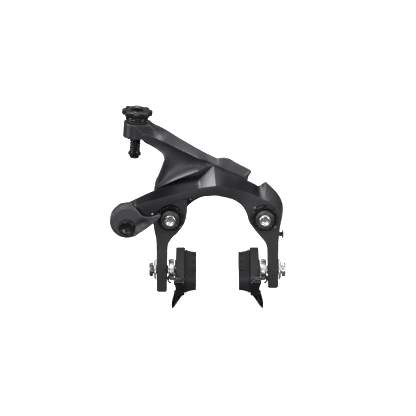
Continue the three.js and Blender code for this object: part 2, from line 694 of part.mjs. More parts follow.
for (const [name, side] of [['left', -1], ['right', 1]]) {
  const pivot = new THREE.Group();
  pivot.position.x = side * PIVOT_X;
  caliper.add(pivot);
  add(`${name}_pivot_bush`, pivotBush(), FINISH.steel, pivot);
  add(`${name}_mounting_bolt`, mountingBolt(), FINISH.steel, pivot);
  add(`${name}_lock_ring`, lockRing(), FINISH.black, pivot);
  add(`${name}_return_spring`, returnSpring(side), FINISH.steel, pivot);

  const shoe = new THREE.Group();
  shoe.position.set(0, SHOE_Y, SHOE_Z);
  caliper.add(shoe);
  add(`${name}_shoe_holder`, shoeHolder(side), FINISH.black, shoe);
  add(`${name}_brake_pad`, brakePad(side), FINISH.rubber, shoe);
  add(`${name}_pad_screw`, padScrew(side), FINISH.steel, shoe);
  add(`${name}_cup_washer`, cupWasher(side), FINISH.steel, shoe);
  add(`${name}_ball_washer`, ballWasher(side), FINISH.steel, shoe);
  add(`${name}_outer_washer`, outerWasher(side), FINISH.steel, shoe);
  add(`${name}_shoe_bolt`, shoeBolt(side), FINISH.steel, shoe);
}

add('front_arm', frontArm(), FINISH.charcoal);
add('rear_arm', rearArm(), FINISH.charcoal);
add('sync_pin', syncPin(), FINISH.steel).position.z = SYNC_Z;
add('sync_roller', syncRoller(), FINISH.polymer).position.z = SYNC_Z;
add('centring_screw', centringScrew(), FINISH.black).position.set(CENTRING_X, SHOE_Y, CENTRING_Z);

const release = new THREE.Group();
release.position.x = LEVER_X;
caliper.add(release);
add('quick_release_lever', quickReleaseLever(), FINISH.charcoal, release);

const anchor = new THREE.Group();
anchor.position.z = -ANCHOR_DROP;
release.add(anchor);
add('cable_anchor_bolt', cableAnchorBolt(), FINISH.black, anchor);
add('cable_clamp_plate', cableClampPlate(), FINISH.steel, anchor);
add('cable_anchor_nut', cableAnchorNut(), FINISH.steel, anchor);

const adjuster = new THREE.Group();
adjuster.position.set(ADJUSTER_X, ADJUSTER_Y, ADJUSTER_Z);
adjuster.rotation.y = ADJUSTER_LEAN;
caliper.add(adjuster);
add('adjuster_knob', adjusterKnob(), FINISH.black, adjuster);
add('adjuster_barrel', adjusterBarrel(), FINISH.black, adjuster);
add('adjuster_seal', adjusterSeal(), FINISH.polymer, adjuster);

export default caliper;
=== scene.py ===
# %% [markdown]
# # A direct-mount rim brake caliper
#
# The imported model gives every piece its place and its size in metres. This lesson
# puts finely shaped pieces over it and gives each one the finish of the real thing:
# satin anodised forgings with gloss facets, turned steel, moulded rubber.

# %% Load the frame
import math

import bmesh
import bpy
import numpy as np
from mathutils import Matrix, Vector
from mathutils.geometry import delaunay_2d_cdt


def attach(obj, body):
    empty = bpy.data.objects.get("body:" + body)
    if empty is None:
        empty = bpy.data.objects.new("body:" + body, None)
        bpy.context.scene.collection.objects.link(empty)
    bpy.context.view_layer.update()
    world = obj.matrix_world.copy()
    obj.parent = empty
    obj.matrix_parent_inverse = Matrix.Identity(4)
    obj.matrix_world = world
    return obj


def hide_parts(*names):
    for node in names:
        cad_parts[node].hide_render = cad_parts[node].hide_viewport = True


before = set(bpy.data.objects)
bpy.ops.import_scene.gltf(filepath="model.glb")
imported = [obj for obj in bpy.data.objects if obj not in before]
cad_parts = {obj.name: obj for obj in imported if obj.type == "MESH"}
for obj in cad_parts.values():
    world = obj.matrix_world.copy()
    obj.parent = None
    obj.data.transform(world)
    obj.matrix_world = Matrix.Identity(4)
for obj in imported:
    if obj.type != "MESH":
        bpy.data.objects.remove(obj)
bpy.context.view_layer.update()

MM = 0.001
print("nodes in the frame:", len(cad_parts))

# %% [markdown]
# ## The camera and the light
#
# The caliper is seen from straight in front and a little above, through a long lens,
# so that both arms keep their proportions. A long lens far away does this better than
# a short one close up. Two soft boxes above, a strip on each side and a low fill in
# front make the highlights that show where each facet turns.

# %% Camera
def new_object(name, data):
    """An object of this name, put into the scene."""
    made = bpy.data.objects.new(name, data)
    bpy.context.scene.collection.objects.link(made)
    return made


ELEVATION = math.radians(19)
CAMERA_DISTANCE = 2.2
VIEW_WIDTH = 0.245
AIM = Vector((-0.0056, -0.0245, 0.0084))

towards_camera = Vector((0, -math.cos(ELEVATION), math.sin(ELEVATION)))
camera_data = bpy.data.cameras.new("camera")
camera_data.sensor_width = 36
camera_data.lens = camera_data.sensor_width * CAMERA_DISTANCE / VIEW_WIDTH
camera_data.clip_end = 20
camera = new_object("camera", camera_data)
camera.location = AIM + towards_camera * CAMERA_DISTANCE
camera.rotation_euler = (math.pi / 2 - ELEVATION, 0, 0)
bpy.context.scene.camera = camera
print("lens in mm:", round(camera_data.lens))


# %% Floor and lights
def area_light(name, place, size, power):
    """A soft box at a place, turned to face the caliper."""
    data = bpy.data.lights.new(name, "AREA")
    data.shape = "RECTANGLE"
    data.size, data.size_y = size
    data.energy = power
    light = new_object(name, data)
    light.location = place
    light.rotation_euler = (-Vector(place)).to_track_quat("-Z", "Y").to_euler()


area_light("key", (-0.45, -0.55, 0.75), (0.4, 0.4), 10)
area_light("top", (0.1, 0.25, 0.9), (0.8, 0.5), 8)
area_light("right_strip", (0.7, -0.35, 0.25), (0.12, 0.5), 5)
area_light("left_strip", (-0.75, -0.2, 0.15), (0.12, 0.5), 4)
area_light("front_fill", (0.1, -1.2, -0.02), (0.9, 0.12), 5)

FLOOR_LEVEL = -0.075
FLOOR_REACH = 4
floor_corners = [
    (x * FLOOR_REACH, y * FLOOR_REACH, FLOOR_LEVEL) for x, y in ((-1, -1), (1, -1), (1, 1), (-1, 1))
]
floor_mesh = bpy.data.meshes.new("floor")
floor_mesh.from_pydata(floor_corners, [], [(0, 1, 2, 3)])
floor = new_object("floor", floor_mesh)
print("lights:", len(bpy.data.lights))

# %% The studio round the caliper
def map_range(tree, value, span, target, interpolation="LINEAR"):
    """Carries a socket's value from one span of numbers to another."""
    node = tree.nodes.new("ShaderNodeMapRange")
    node.interpolation_type = interpolation
    for label, number in zip(("From Min", "From Max", "To Min", "To Max"), (*span, *target)):
        node.inputs[label].default_value = number
    tree.links.new(value, node.inputs["Value"])
    return node.outputs["Result"]


def make_world():
    """Bright overhead and dim at eye level for the reflections; plain white behind the view."""
    world = bpy.data.worlds.new("studio")
    world.use_nodes = True
    tree = world.node_tree
    link = tree.links.new
    place = tree.nodes.new("ShaderNodeTexCoord")
    parts = tree.nodes.new("ShaderNodeSeparateXYZ")
    rise = map_range(tree, parts.outputs["Z"], (0.0, 0.95), (0.03, 0.95), "SMOOTHSTEP")
    seen = tree.nodes.new("ShaderNodeLightPath")
    choose = tree.nodes.new("ShaderNodeMix")
    link(place.outputs["Generated"], parts.inputs[0])
    link(seen.outputs["Is Camera Ray"], choose.inputs["Factor"])
    link(rise, choose.inputs["A"])
    choose.inputs["B"].default_value = 1.0
    link(choose.outputs["Result"], tree.nodes["Background"].inputs["Strength"])
    tree.nodes["Background"].inputs["Color"].default_value = (1, 1, 1, 1)
    return world


bpy.context.scene.world = make_world()
bpy.context.scene.view_settings.view_transform = "Standard"
print("world:", bpy.context.scene.world.name)

# %% [markdown]
# ## Outlines
#
# A forged arm is easiest to describe as a maker draws it: an outline seen from the
# front, with straight stretches, corners and curves through a few points. Each
# stretch below is a list of points, and a smooth curve runs through them, while the
# places where two stretches meet stay corners.


# %% Smooth outlines
def smooth_run(points, spacing=0.5):
    """A curve through [x, z] points in mm, with a sample about every `spacing` and without its end."""
    points = np.asarray(points, float)
    chords = np.hypot(*(points[1:] - points[:-1]).T)
    slopes = (points[1:] - points[:-1]) / chords[:, None]
    tangents = np.empty_like(points)
    tangents[0], tangents[-1] = slopes[0], slopes[-1]
    before, after = chords[:-1, None], chords[1:, None]
    tangents[1:-1] = (slopes[:-1] * after + slopes[1:] * before) / (before + after)
    samples = []
    for i, chord in enumerate(chords):
        count = max(1, round(chord / spacing))
        t = np.arange(count)[:, None] / count
        samples.append(
            (2 * t**3 - 3 * t**2 + 1) * points[i] + (t**3 - 2 * t**2 + t) * chord * tangents[i]
            + (3 * t**2 - 2 * t**3) * points[i + 1] + (t**3 - t**2) * chord * tangents[i + 1]
        )
    return np.vstack(samples)


def outline(*runs, spacing=0.5):
    """A closed outline. Each run is a curve that goes on to the first point of the next one."""
    return np.vstack([
        smooth_run(list(run) + [runs[(i + 1) % len(runs)][0]], spacing) for i, run in enumerate(runs)
    ])


def open_outline(*runs, spacing=0.5):
    """The same, left open: the last run only gives the point where the line ends."""
    return np.vstack([smooth_run(list(a) + [b[0]], spacing) for a, b in zip(runs, runs[1:])])


def open_line(points, spacing=0.4):
    """One smooth curve from the first point to the last."""
    return np.vstack([smooth_run(points, spacing), [points[-1]]])


def arc(centre, radius, start, end, count=48):
    """Points on a circle, from one angle to another in degrees."""
    turn = np.radians(np.linspace(start, end, count))
    return np.column_stack([centre[0] + radius * np.cos(turn), centre[1] + radius * np.sin(turn)])


def circle(centre, radius, count=64):
    """Points all round a circle."""
    return arc(centre, radius, 0, 360, count + 1)[:-1]


# %% [markdown]
# ## Reliefs
#
# Seen from the front, every surface of a forged arm is a height above its outline: a
# flat face, a sloping facet, a dished web. So an arm can be made as a relief, which is
# a fine net of triangles inside the outline, with one height rule for its front and
# one for its back. The rules are plain functions, so facets meet in exact lines, and
# every outer edge gets a small round that catches the light as a real edge does.
# Modelling the same arm from blocks and modifiers would leave seams where they join.


# %% Distances and insides
def distance_to(points, lines):
    """Distance in mm from each point to the nearest of some polylines, each (points, closed)."""
    best = np.full(len(points), 1e9)
    for line, closed in lines:
        start = line if closed else line[:-1]
        along = (np.roll(line, -1, axis=0) if closed else line[1:]) - start
        reach = (along**2).sum(1) + 1e-12
        for first in range(0, len(points), 4000):
            p = points[first:first + 4000, None, :] - start
            t = np.clip((p * along).sum(2) / reach, 0, 1)
            gap = np.sqrt(((p - t[..., None] * along)**2).sum(2)).min(1)
            best[first:first + 4000] = np.minimum(best[first:first + 4000], gap)
    return best


def is_inside(points, loop):
    """Whether each point is inside a closed loop."""
    x, z = points[:, :1], points[:, 1:]
    ax, az = loop[:, 0], loop[:, 1]
    bx, bz = np.roll(ax, -1), np.roll(az, -1)
    crosses = (az > z) != (bz > z)
    with np.errstate(divide="ignore", invalid="ignore"):
        at = ax + (z - az) * (bx - ax) / (bz - az)
    return (np.logical_and(crosses, x < at).sum(1) % 2) == 1


def smooth_step(value, low, high):
    """0 below `low`, 1 above `high`, and a soft slope between them."""
    t = np.clip((value - low) / (high - low), 0, 1)
    return t * t * (3 - 2 * t)


def soft_max(a, b, radius):
    """The larger of two heights, with a round of about `radius` mm where they cross."""
    h = np.clip(0.5 + 0.5 * (a - b) / radius, 0, 1)
    return b + (a - b) * h + radius * h * (1 - h)


def soft_min(a, b, radius):
    """The smaller of two heights, joined in the same way."""
    return -soft_max(-a, -b, radius)


# %% The net of a relief
ROUND_RINGS = (0.12, 0.35, 0.65, 1.0)    # where the net's rings lie across a rounded edge


def relief_net(loop, holes, folds, step, edge):
    """Triangles inside a loop, finer along its edges, with the folds as edges of the net."""
    rims = [(loop, True)] + [(hole, True) for hole in holes]
    clouds = [line for line, closed in [*rims, *folds]]
    for share in ROUND_RINGS:
        for rim in [loop, *holes]:
            along = np.roll(rim, -1, axis=0) - np.roll(rim, 1, axis=0)
            normal = np.column_stack([-along[:, 1], along[:, 0]]) / np.hypot(*along.T)[:, None]
            side = 1 if rim is loop else -1
            inset = rim + side * normal * edge * share
            far = distance_to(inset, rims) > edge * share * 0.93
            clouds.append(inset[far & is_inside(inset, loop)])
    low, high = loop.min(0), loop.max(0)
    rows = np.arange(low[1], high[1], step * math.sqrt(3) / 2)
    columns = np.arange(low[0], high[0], step)
    grid = np.array([(x + (step / 2 if k % 2 else 0), z) for k, z in enumerate(rows) for x in columns])
    grid = grid[is_inside(grid, loop)]
    grid = grid[distance_to(grid, rims) > edge + step * 0.55]
    if folds:
        grid = grid[distance_to(grid, folds) > step * 0.45]
    for hole in holes:
        grid = grid[~is_inside(grid, hole)]
    clouds.append(grid)
    edges, first = [], 0
    for cloud, closed in [*rims, *folds]:
        ids = list(range(first, first + len(cloud)))
        edges += list(zip(ids, ids[1:] + ids[:1])) if closed else list(zip(ids, ids[1:]))
        first += len(cloud)
    points = np.vstack(clouds)
    found = delaunay_2d_cdt([Vector(p) for p in points], edges, [], 0, 1e-4)
    points = np.array([tuple(p) for p in found[0]])
    faces = np.array([tuple(f) for f in found[2]])
    centres = points[faces].mean(1)
    keep = is_inside(centres, loop)
    for hole in holes:
        keep &= ~is_inside(centres, hole)
    return points, faces[keep], rims


# %% The relief
def flat(level):
    """A height rule that is the same everywhere."""
    return lambda x, z: np.full_like(x, level)


def relief(name, loop, front, back, holes=(), folds=(), step=0.5, edge=0.6, zone=None, turn=None):
    """A solid between a front and a back height rule, both y in mm, inside an [x, z] outline."""
    points, faces, rims = relief_net(loop, list(holes), list(folds), step, edge)
    x, z = points.T
    near, far = front(x, z), back(x, z)
    depth = np.minimum(distance_to(points, rims), edge)
    drop = edge - np.sqrt(np.maximum(edge**2 - (edge - depth)**2, 0))
    drop = np.minimum(drop, np.maximum(far - near, 0) / 2)
    near, far = near + drop, far - drop
    count = len(points)
    vertices = np.vstack([np.column_stack([x, near, z]), np.column_stack([x, far, z])])
    ways = [way for a, b, c in faces for way in ((a, b), (b, c), (c, a))]
    known = set(ways)
    sides = [(b, a, a + count, b + count) for a, b in ways if (b, a) not in known]
    polygons = [tuple(f) for f in faces] + [(c + count, b + count, a + count) for a, b, c in faces] + sides
    if turn is not None:
        vertices = turn(vertices)
    mesh = bpy.data.meshes.new(name)
    mesh.from_pydata(vertices * MM, [], [tuple(int(i) for i in p) for p in polygons])
    if zone is not None:
        centres = points[faces].mean(1)
        zones = zone(centres[:, 0], centres[:, 1]).astype(int)
        for i, slot in enumerate(zones):
            mesh.polygons[i].material_index = int(slot)
    piece = new_object(name, mesh)
    tidy_mesh(piece)
    return piece


def tidy_mesh(piece, sharp=38):
    """Merges doubles, drops slivers, turns the faces outwards and shades smooth between edges."""
    work = bmesh.new()
    work.from_mesh(piece.data)
    bmesh.ops.remove_doubles(work, verts=work.verts, dist=2e-6)
    bmesh.ops.dissolve_degenerate(work, edges=work.edges, dist=1e-6)
    bmesh.ops.delete(work, geom=[v for v in work.verts if not v.link_faces], context="VERTS")
    bmesh.ops.recalc_face_normals(work, faces=work.faces)
    work.to_mesh(piece.data)
    work.free()
    piece.data.shade_smooth()
    piece.data.set_sharp_from_angle(angle=math.radians(sharp))


# %% [markdown]
# ## The front arm
#
# The front arm's long face lies flat in front of everything else. A ridge runs along
# it, and the facet above the ridge slopes back to the arm's top edge. How far back a
# point of the facet lies depends on how near it is to the ridge and to the edge, so
# one rule gives the long narrow facet, the peak and the round shoulder.

# %% Front arm outline
PIVOT_X = 28
BORE_RADIUS = 6.3
LEVER_AXIS = (-53.4, 0.0)
FRONT_EYE = arc(LEVER_AXIS, 8.6, 124, 345, 60)
FRONT_TOP_RUNS = [
    [(36.4, -16), (37.6, -9.8), (38.9, -2.8), (38.7, 4.9), (36.8, 9.3), (33.3, 13.8)],
    [(28.6, 18.3)],
    [(24.6, 15.7), (23.8, 17.2), (17.8, 20.9), (8, 25.4)],
    [(-2.4, 30.2)],
    [(-10.8, 23.7), (-20, 21.9), (-30, 19.6), (-38, 16.9), (-48, 12.2), (-53.4, 9.6)],
]
FRONT_LOOP = outline(
    [tuple(p) for p in FRONT_EYE],
    [(-43.5, 1.0)],
    [(-39, 4.2)],
    [(-35.5, 5.4), (-32.9, 8.1), (-27, 10.8), (-18.6, 13.7), (-5.9, 15.3), (-1.4, 15.4), (3.4, 14),
     (9.3, 11.5), (14.4, 7.2), (16.9, 2.9), (18.6, -2.8), (22, -8.1), (25.3, -12.2), (28.6, -16.8)],
    [(29.5, -20)], [(30, -44.3)], [(30.6, -44.9)], [(35.3, -44.9)], [(36.3, -43.9)],
    *FRONT_TOP_RUNS,
)
RIDGE = open_line([
    (-48.6, 10.2), (-35.5, 14.2), (-18.6, 18.8), (-5, 21.8), (-1, 22), (8, 19.5), (15.2, 16.7), (21, 14.3),
    (26.2, 11.5), (31.6, 9.2), (34.5, 6.4), (36.4, 2.7), (37, -1.6), (36.9, -8), (36.4, -16), (36.4, -20),
])
TOP_EDGE = open_outline(*FRONT_TOP_RUNS, [(-58.2, 7.3)])
SWOOSH = open_line([
    (-49.6, 10.6), (-48.7, 9.7), (-46.6, 8.1), (-45.0, 6.4), (-43.7, 4.6), (-42, 3.7), (-40.5, 3.7),
    (-38, 4.4), (-35.5, 5.4), (-34.5, 6.2),
])
BOSS_LINE = open_line([(15.5, 1.6), (17.2, 4), (18.9, 8.7), (23.2, 14.2), (25.0, 16.4)])
EYE_LINE = open_line([(-66, 6.4), (-47, 6.2), (-44.5, 2), (-43.8, -6)])
EYE_REGION = np.vstack([EYE_LINE, [(-43.8, -30), (-80, -30), (-80, 6.4)]])
print("front arm outline points:", len(FRONT_LOOP))


def pair(line, gap=0.12):
    """Two lines close beside one another, between which a wall of the relief stands."""
    along = np.gradient(line, axis=0)
    side = np.column_stack([-along[:, 1], along[:, 0]]) / np.hypot(*along.T)[:, None] * gap / 2
    return [(line + side, False), (line - side, False)]


SYNC_Z = 21
TRACK_RADIUS = 3.4
ROLLER_TRACK = outline(
    [tuple(p) for p in arc((-8.02, 19.58), TRACK_RADIUS, 100, 280, 16)],
    [tuple(p) for p in arc((0, SYNC_Z), TRACK_RADIUS, -80, 100, 16)],
)

# %% Front arm heights
FRONT_FACET = np.vstack([RIDGE, [(60, -20), (60, 60), (-60, 60), (-60, 11)]])
FLOOR_REGION = np.vstack([SWOOSH, [(-36, 0), (-60, -20), (-75, 0), (-60, 20), (-50, 14)]])
BOSS_REGION = np.vstack([BOSS_LINE, [(60, 40), (60, -60), (10, -60)]])
FACE_LEVEL = -25
FACE_STEP = 8             # how far the face lies back at the pivot
EYE_FLOOR = -18.6
RING_SEAT = -17
SPRING_POCKET = -10.4
ARM_BACK = -4.2
HUB_CLEARANCE = 10.6      # the radius that the lever's head needs


def front_arm_front(x, z):
    """The flat face, the facet above it, the low floor round the lever and the ring nut's seat."""
    points = np.column_stack([x, z])
    face = FACE_LEVEL + FACE_STEP * smooth_step(x, -6, 21)
    from_ridge = distance_to(points, [(RIDGE, False)])
    from_edge = distance_to(points, [(TOP_EDGE, False)])
    # Under the ridge the face curves back a little; above it the facet leans to the top edge.
    low = face + np.minimum(0.018 * from_ridge**2, 1.1) * (1 - smooth_step(x, 5, 18))
    edge_height = np.interp(x, [-12, -2.4, 23, 26], [-18.4, -10.8, -10.8, -5])
    share = from_ridge / (from_ridge + from_edge + 1e-9)
    facet = face + (edge_height - face) * share
    height = np.where(is_inside(points, FRONT_FACET), facet, low)
    floor = is_inside(points, FLOOR_REGION) | (np.hypot(x - LEVER_AXIS[0], z) < HUB_CLEARANCE)
    recess = np.hypot(x - PIVOT_X, z) < 8.3
    return np.where(floor, EYE_FLOOR, np.where(recess & (height < RING_SEAT - 0.02), RING_SEAT, height))


def front_arm_back(x, z):
    """A thin beam on the left, the thick boss at the pivot, the lever's eye and the roller's track."""
    points = np.column_stack([x, z])
    beam = np.interp(x, [-12, -3.6], [-17.6, -10])
    boss = is_inside(points, BOSS_REGION)
    height = np.where(boss, ARM_BACK, beam)
    height = np.where(is_inside(points, EYE_REGION), -12.5, height)
    height = np.where(is_inside(points, ROLLER_TRACK), -15, height)
    return np.where(boss & (np.hypot(x - PIVOT_X, z) < 8.6), SPRING_POCKET, height)


def front_zones(x, z):
    """0 satin, 1 gloss on the sloping facet, 2 a lighter grey on the facet left of the peak: a painted
    highlight for the light that this gloss facet reflects.
    """
    points = np.column_stack([x, z])
    facet = is_inside(points, FRONT_FACET) & (x > -48) & (np.hypot(x - LEVER_AXIS[0], z) > HUB_CLEARANCE)
    # Left of the peak the gloss facet gets a lighter colour: painted highlight.
    painted_highlight = facet & (x > -11) & (x < -1 - (z - 22) * 1.4 / 8.2)
    shoulder = facet & (x > 25)
    return np.where(painted_highlight, 2, np.where(facet & ~shoulder, 1, 0))


front_arm = relief(
    "front_arm_forging", FRONT_LOOP, front_arm_front, front_arm_back,
    holes=[circle((PIVOT_X, 0), BORE_RADIUS), circle(LEVER_AXIS, 6.8)],
    folds=[(RIDGE, False), *pair(SWOOSH), *pair(BOSS_LINE), (open_line([(-2.4, 30.2), (-1, 22)]), False),
           *pair(EYE_LINE), *[(circle((PIVOT_X, 0), r), True) for r in (8.25, 8.4, 8.7)],
           (ROLLER_TRACK, True)],
    zone=front_zones,
)
print("front arm faces:", len(front_arm.data.polygons))

# %% [markdown]
# ## The rear arm
#
# The rear arm crosses behind the front one, and rises to the cable adjuster. A long
# bevel runs down its top edge, and the web below it is dished, so it goes from dark to
# light along its length. The adjuster's boss is a part of a cylinder: its height rule
# is a circle, which blends softly into the neck.

# %% Rear arm outline
ADJUSTER = (-47.9, -11, 52.8)
LEAN = math.radians(4)
BOSS_RADIUS = 7.6


def lean(u, w):
    """A point of the adjuster, from its own axes to the frame's [x, z]."""
    return (ADJUSTER[0] + u * math.cos(LEAN) + w * math.sin(LEAN),
            ADJUSTER[2] - u * math.sin(LEAN) + w * math.cos(LEAN))


def upright(x, z):
    """The other way round: from the frame's [x, z] to the adjuster's own axes."""
    across, up = x - ADJUSTER[0], z - ADJUSTER[2]
    return across * math.cos(LEAN) - up * math.sin(LEAN), across * math.sin(LEAN) + up * math.cos(LEAN)


REAR_TOP_RUNS = [
    [(17.7, 19.9)],
    [(20.3, 24.2)],
    [(19.6, 25.6), (10.1, 30.8), (7.2, 32.6), (3.4, 33.4)],
    [(0, 32.8), (-6.8, 36.2), (-18.6, 43.2), (-32.9, 52.4), (-38.4, 55.3)],
]
REAR_LOOP = outline(
    [lean(7.6, 4.6)], [lean(-7.6, 4.6)], [lean(-7.6, -4.6)],
    [lean(3.6, -4.6), (-43.1, 46.2), (-39.6, 43.7), (-34.6, 39.7), (-32, 36.5), (-31.5, 33), (-32.9, 28.5),
     (-35, 22.8), (-36.7, 19.2), (-37.6, 14.7), (-38.1, 5), (-38.3, -2), (-37.6, -8), (-36.5, -14)],
    [(-36.3, -20)], [(-36.3, -46.4)], [(-35.3, -47.4)], [(-30.6, -47.4)], [(-30, -46.8)],
    [(-29.5, -20), (-29.2, -17.5), (-27.4, -14), (-23.6, -10), (-19.3, -3.5), (-18, 2.5), (-18, 10)],
    [(-18, 12), (-12, 15.5), (-4.6, 18.2), (-2.4, 16.8), (2.4, 16.8), (4.6, 18.5), (5.6, 21.6), (15.8, 20)],
    *REAR_TOP_RUNS,
)
REAR_LEFT = open_line([
    (-43.1, 46.2), (-39.6, 43.7), (-34.6, 39.7), (-32, 36.5), (-31.5, 33), (-32.9, 28.5), (-35, 22.8),
])
REAR_EDGE = open_outline(*REAR_TOP_RUNS, [lean(7.6, 4.6)])
CREASE = open_line([
    (-43.5, 51.2), (-40.8, 50.0), (-37, 48.2), (-32.9, 46.0), (-26.4, 42.7), (-18.6, 38.8), (-12, 35.5),
    (-6, 32.7), (-1.6, 30.6), (6, 27.1), (16.6, 22.1), (18.6, 20.4),
])
WEB_EDGE = open_line([(-38, 15.6), (-34, 17.4), (-24.4, 21.8), (-10, 27.6), (-5, 29.4), (-1.6, 30.6)])
LEG_TOP = 12.3
LEG_LINE = open_line([(-42, LEG_TOP), (-30, LEG_TOP), (-14, LEG_TOP)])

# %% Rear arm heights
REAR_FACET = np.vstack([CREASE, [(60, 15), (60, 80), (-43.5, 80)]])
WEB_REGION = np.vstack([WEB_EDGE, CREASE[CREASE[:, 0] < -1.6][::-1], [(-60, 70), (-70, 40), (-50, 15)]])
DISH_DEPTH = 3.4
DISH_ROUND = 4
SPAN_FACE = -9.4
LEG_FACE = -17


def rear_arm_front(x, z):
    """The dished web, the bevel along the top, the leg, and the adjuster's boss with its neck."""
    points = np.column_stack([x, z])
    neck = -18.5 + 0.4 * (x + 48.9)
    level = soft_min(-12 + 2.6 * smooth_step(x, -12, -5), neck, 1.5)
    from_crease = distance_to(points, [(CREASE, False)])
    from_edge = distance_to(points, [(REAR_EDGE, False)])
    from_web_edge = distance_to(points, [(WEB_EDGE, False)])
    from_left = distance_to(points, [(REAR_LEFT, False)])
    dish = 1
    for gap in (from_crease, from_web_edge, from_left):
        dish = dish * (1 - np.exp(-gap / DISH_ROUND))
    web = level + DISH_DEPTH * dish * smooth_step(x, -42, -34)
    edge_height = np.interp(x, [-40, -38, -34.8, -31.3, -25, -10], [-13.2, -11.6, -8.9, -7.3, -5.8, -5])
    facet = level + (edge_height - level) * from_crease / (from_crease + from_edge + 1e-9)
    height = np.where(is_inside(points, WEB_REGION), web, SPAN_FACE)
    height = np.where(is_inside(points, REAR_FACET) & (x > -43), facet, height)
    height = np.where(z < LEG_TOP, LEG_FACE, height)
    u, w = upright(x, z)
    boss = ADJUSTER[1] - np.sqrt(np.maximum(BOSS_RADIUS**2 - u**2, 0.01))
    joined = height + (soft_min(neck, height, 0.6) - height) * (1 - smooth_step(x, -41, -29))
    return np.where(z < 40, height, np.where(u < -1, boss, joined))


def rear_arm_back(x, z):
    """Flat, but for the round back of the adjuster's boss and the spring's pocket."""
    u, w = upright(x, z)
    boss = ADJUSTER[1] + np.sqrt(np.maximum(BOSS_RADIUS**2 - u**2, 0.01))
    arm = np.where(z > 44, -4.9, ARM_BACK)
    height = np.where((w > -4.9) & (u < BOSS_RADIUS), soft_max(boss, np.where(u < 2, -13, arm), 1.2), arm)
    return np.where(np.hypot(x + PIVOT_X, z) < 8.6, SPRING_POCKET, height)


rear_arm = relief(
    "rear_arm_forging", REAR_LOOP, rear_arm_front, rear_arm_back,
    holes=[circle((-PIVOT_X, 0), BORE_RADIUS)],
    folds=[(CREASE, False), *pair(WEB_EDGE), *pair(LEG_LINE),
           *[(circle((-PIVOT_X, 0), r), True) for r in (8.6, 8.75)]],
)
print("rear arm faces:", len(rear_arm.data.polygons))

# %% [markdown]
# ## Finishes
#
# Every finish here is one Principled shader whose colour, roughness and surface are
# varied by two shared node groups. The first, Grain, is the fine even texture that
# blasting or moulding leaves. The second finds the edges of the mesh, breaks them up with
# noise and lightens them there: partly metal worn where hands and dirt rub, partly a painted
# highlight along the ridges, where a real edge catches the light.
# Both read Object coordinates, which are in metres, so the grain is the same size on
# a big arm and on a small washer.


# %% Shared node groups
EDGE_STARTS = 0.55        # a flat face has a pointiness of 0.5
COLOUR_A, COLOUR_B, COLOUR_RESULT = 6, 7, 2    # the Mix node's colour sockets


def new_group(name, inputs, outputs):
    """A node group of number sockets: the group, its two ends, and the call that links its nodes."""
    group = bpy.data.node_groups.new(name, "ShaderNodeTree")
    for label, value in inputs.items():
        socket = group.interface.new_socket(label, in_out="INPUT", socket_type="NodeSocketFloat")
        socket.default_value = value
    for label in outputs:
        group.interface.new_socket(label, in_out="OUTPUT", socket_type="NodeSocketFloat")
    return group, group.nodes.new("NodeGroupInput"), group.nodes.new("NodeGroupOutput"), group.links.new


def math_node(tree, link, operation, first, second):
    """One sum on two values, each of them a number or a socket."""
    node = tree.nodes.new("ShaderNodeMath")
    node.operation = operation
    for socket, value in zip(node.inputs, (first, second)):
        if isinstance(value, (int, float)):
            socket.default_value = value
        else:
            link(value, socket)
    return node.outputs[0]


def make_grain_group():
    """Fine even grain, with a slow smudge over it."""
    group, start, end, link = new_group("Grain", {"Scale": 4000.0, "Smudge Scale": 60.0}, ["Grain", "Smudge"])
    place = group.nodes.new("ShaderNodeTexCoord")
    fine = group.nodes.new("ShaderNodeTexNoise")
    fine.inputs["Detail"].default_value = 3
    slow = group.nodes.new("ShaderNodeTexNoise")
    slow.inputs["Detail"].default_value = 5
    slow.inputs["Roughness"].default_value = 0.62
    link(place.outputs["Object"], fine.inputs["Vector"])
    link(place.outputs["Object"], slow.inputs["Vector"])
    link(start.outputs["Scale"], fine.inputs["Scale"])
    link(start.outputs["Smudge Scale"], slow.inputs["Scale"])
    link(fine.outputs["Fac"], end.inputs["Grain"])
    link(slow.outputs["Fac"], end.inputs["Smudge"])
    return group


def make_edge_wear_and_highlight_group():
    """A mask of the sharply convex edges of the mesh, broken up by noise: worn metal, and a painted highlight
    along the ridges.
    """
    group, start, end, link = new_group("EdgeWearAndHighlight", {"Sharpness": 12.0, "Break Up": 700.0}, ["Mask"])
    shape = group.nodes.new("ShaderNodeNewGeometry")
    place = group.nodes.new("ShaderNodeTexCoord")
    noise = group.nodes.new("ShaderNodeTexNoise")
    noise.inputs["Detail"].default_value = 4
    link(place.outputs["Object"], noise.inputs["Vector"])
    link(start.outputs["Break Up"], noise.inputs["Scale"])
    raised = math_node(group, link, "SUBTRACT", shape.outputs["Pointiness"], EDGE_STARTS)
    scaled = math_node(group, link, "MULTIPLY", raised, start.outputs["Sharpness"])
    broken = math_node(group, link, "MULTIPLY", scaled, noise.outputs["Fac"])
    held = math_node(group, link, "MINIMUM", broken, 1.0)
    link(math_node(group, link, "MAXIMUM", held, 0.0), end.inputs["Mask"])
    return group


GRAIN = make_grain_group()
EDGE_WEAR_AND_HIGHLIGHT = make_edge_wear_and_highlight_group()
ROUGH_SPREAD = 0.1
GRAIN_DEPTH = 0.00004


def group_node(tree, group, **values):
    """A shared group used in a material, with its inputs set."""
    node = tree.nodes.new("ShaderNodeGroup")
    node.node_tree = group
    for label, value in values.items():
        node.inputs[label.replace("_", " ")].default_value = value
    return node


def mixed(tree, factor, first, second):
    """A colour between two others; the factor is a socket."""
    node = tree.nodes.new("ShaderNodeMix")
    node.data_type = "RGBA"
    tree.links.new(factor, node.inputs["Factor"])
    for slot, colour in ((COLOUR_A, first), (COLOUR_B, second)):
        if isinstance(colour, tuple):
            node.inputs[slot].default_value = (*colour, 1)
        else:
            tree.links.new(colour, node.inputs[slot])
    return node.outputs[COLOUR_RESULT]


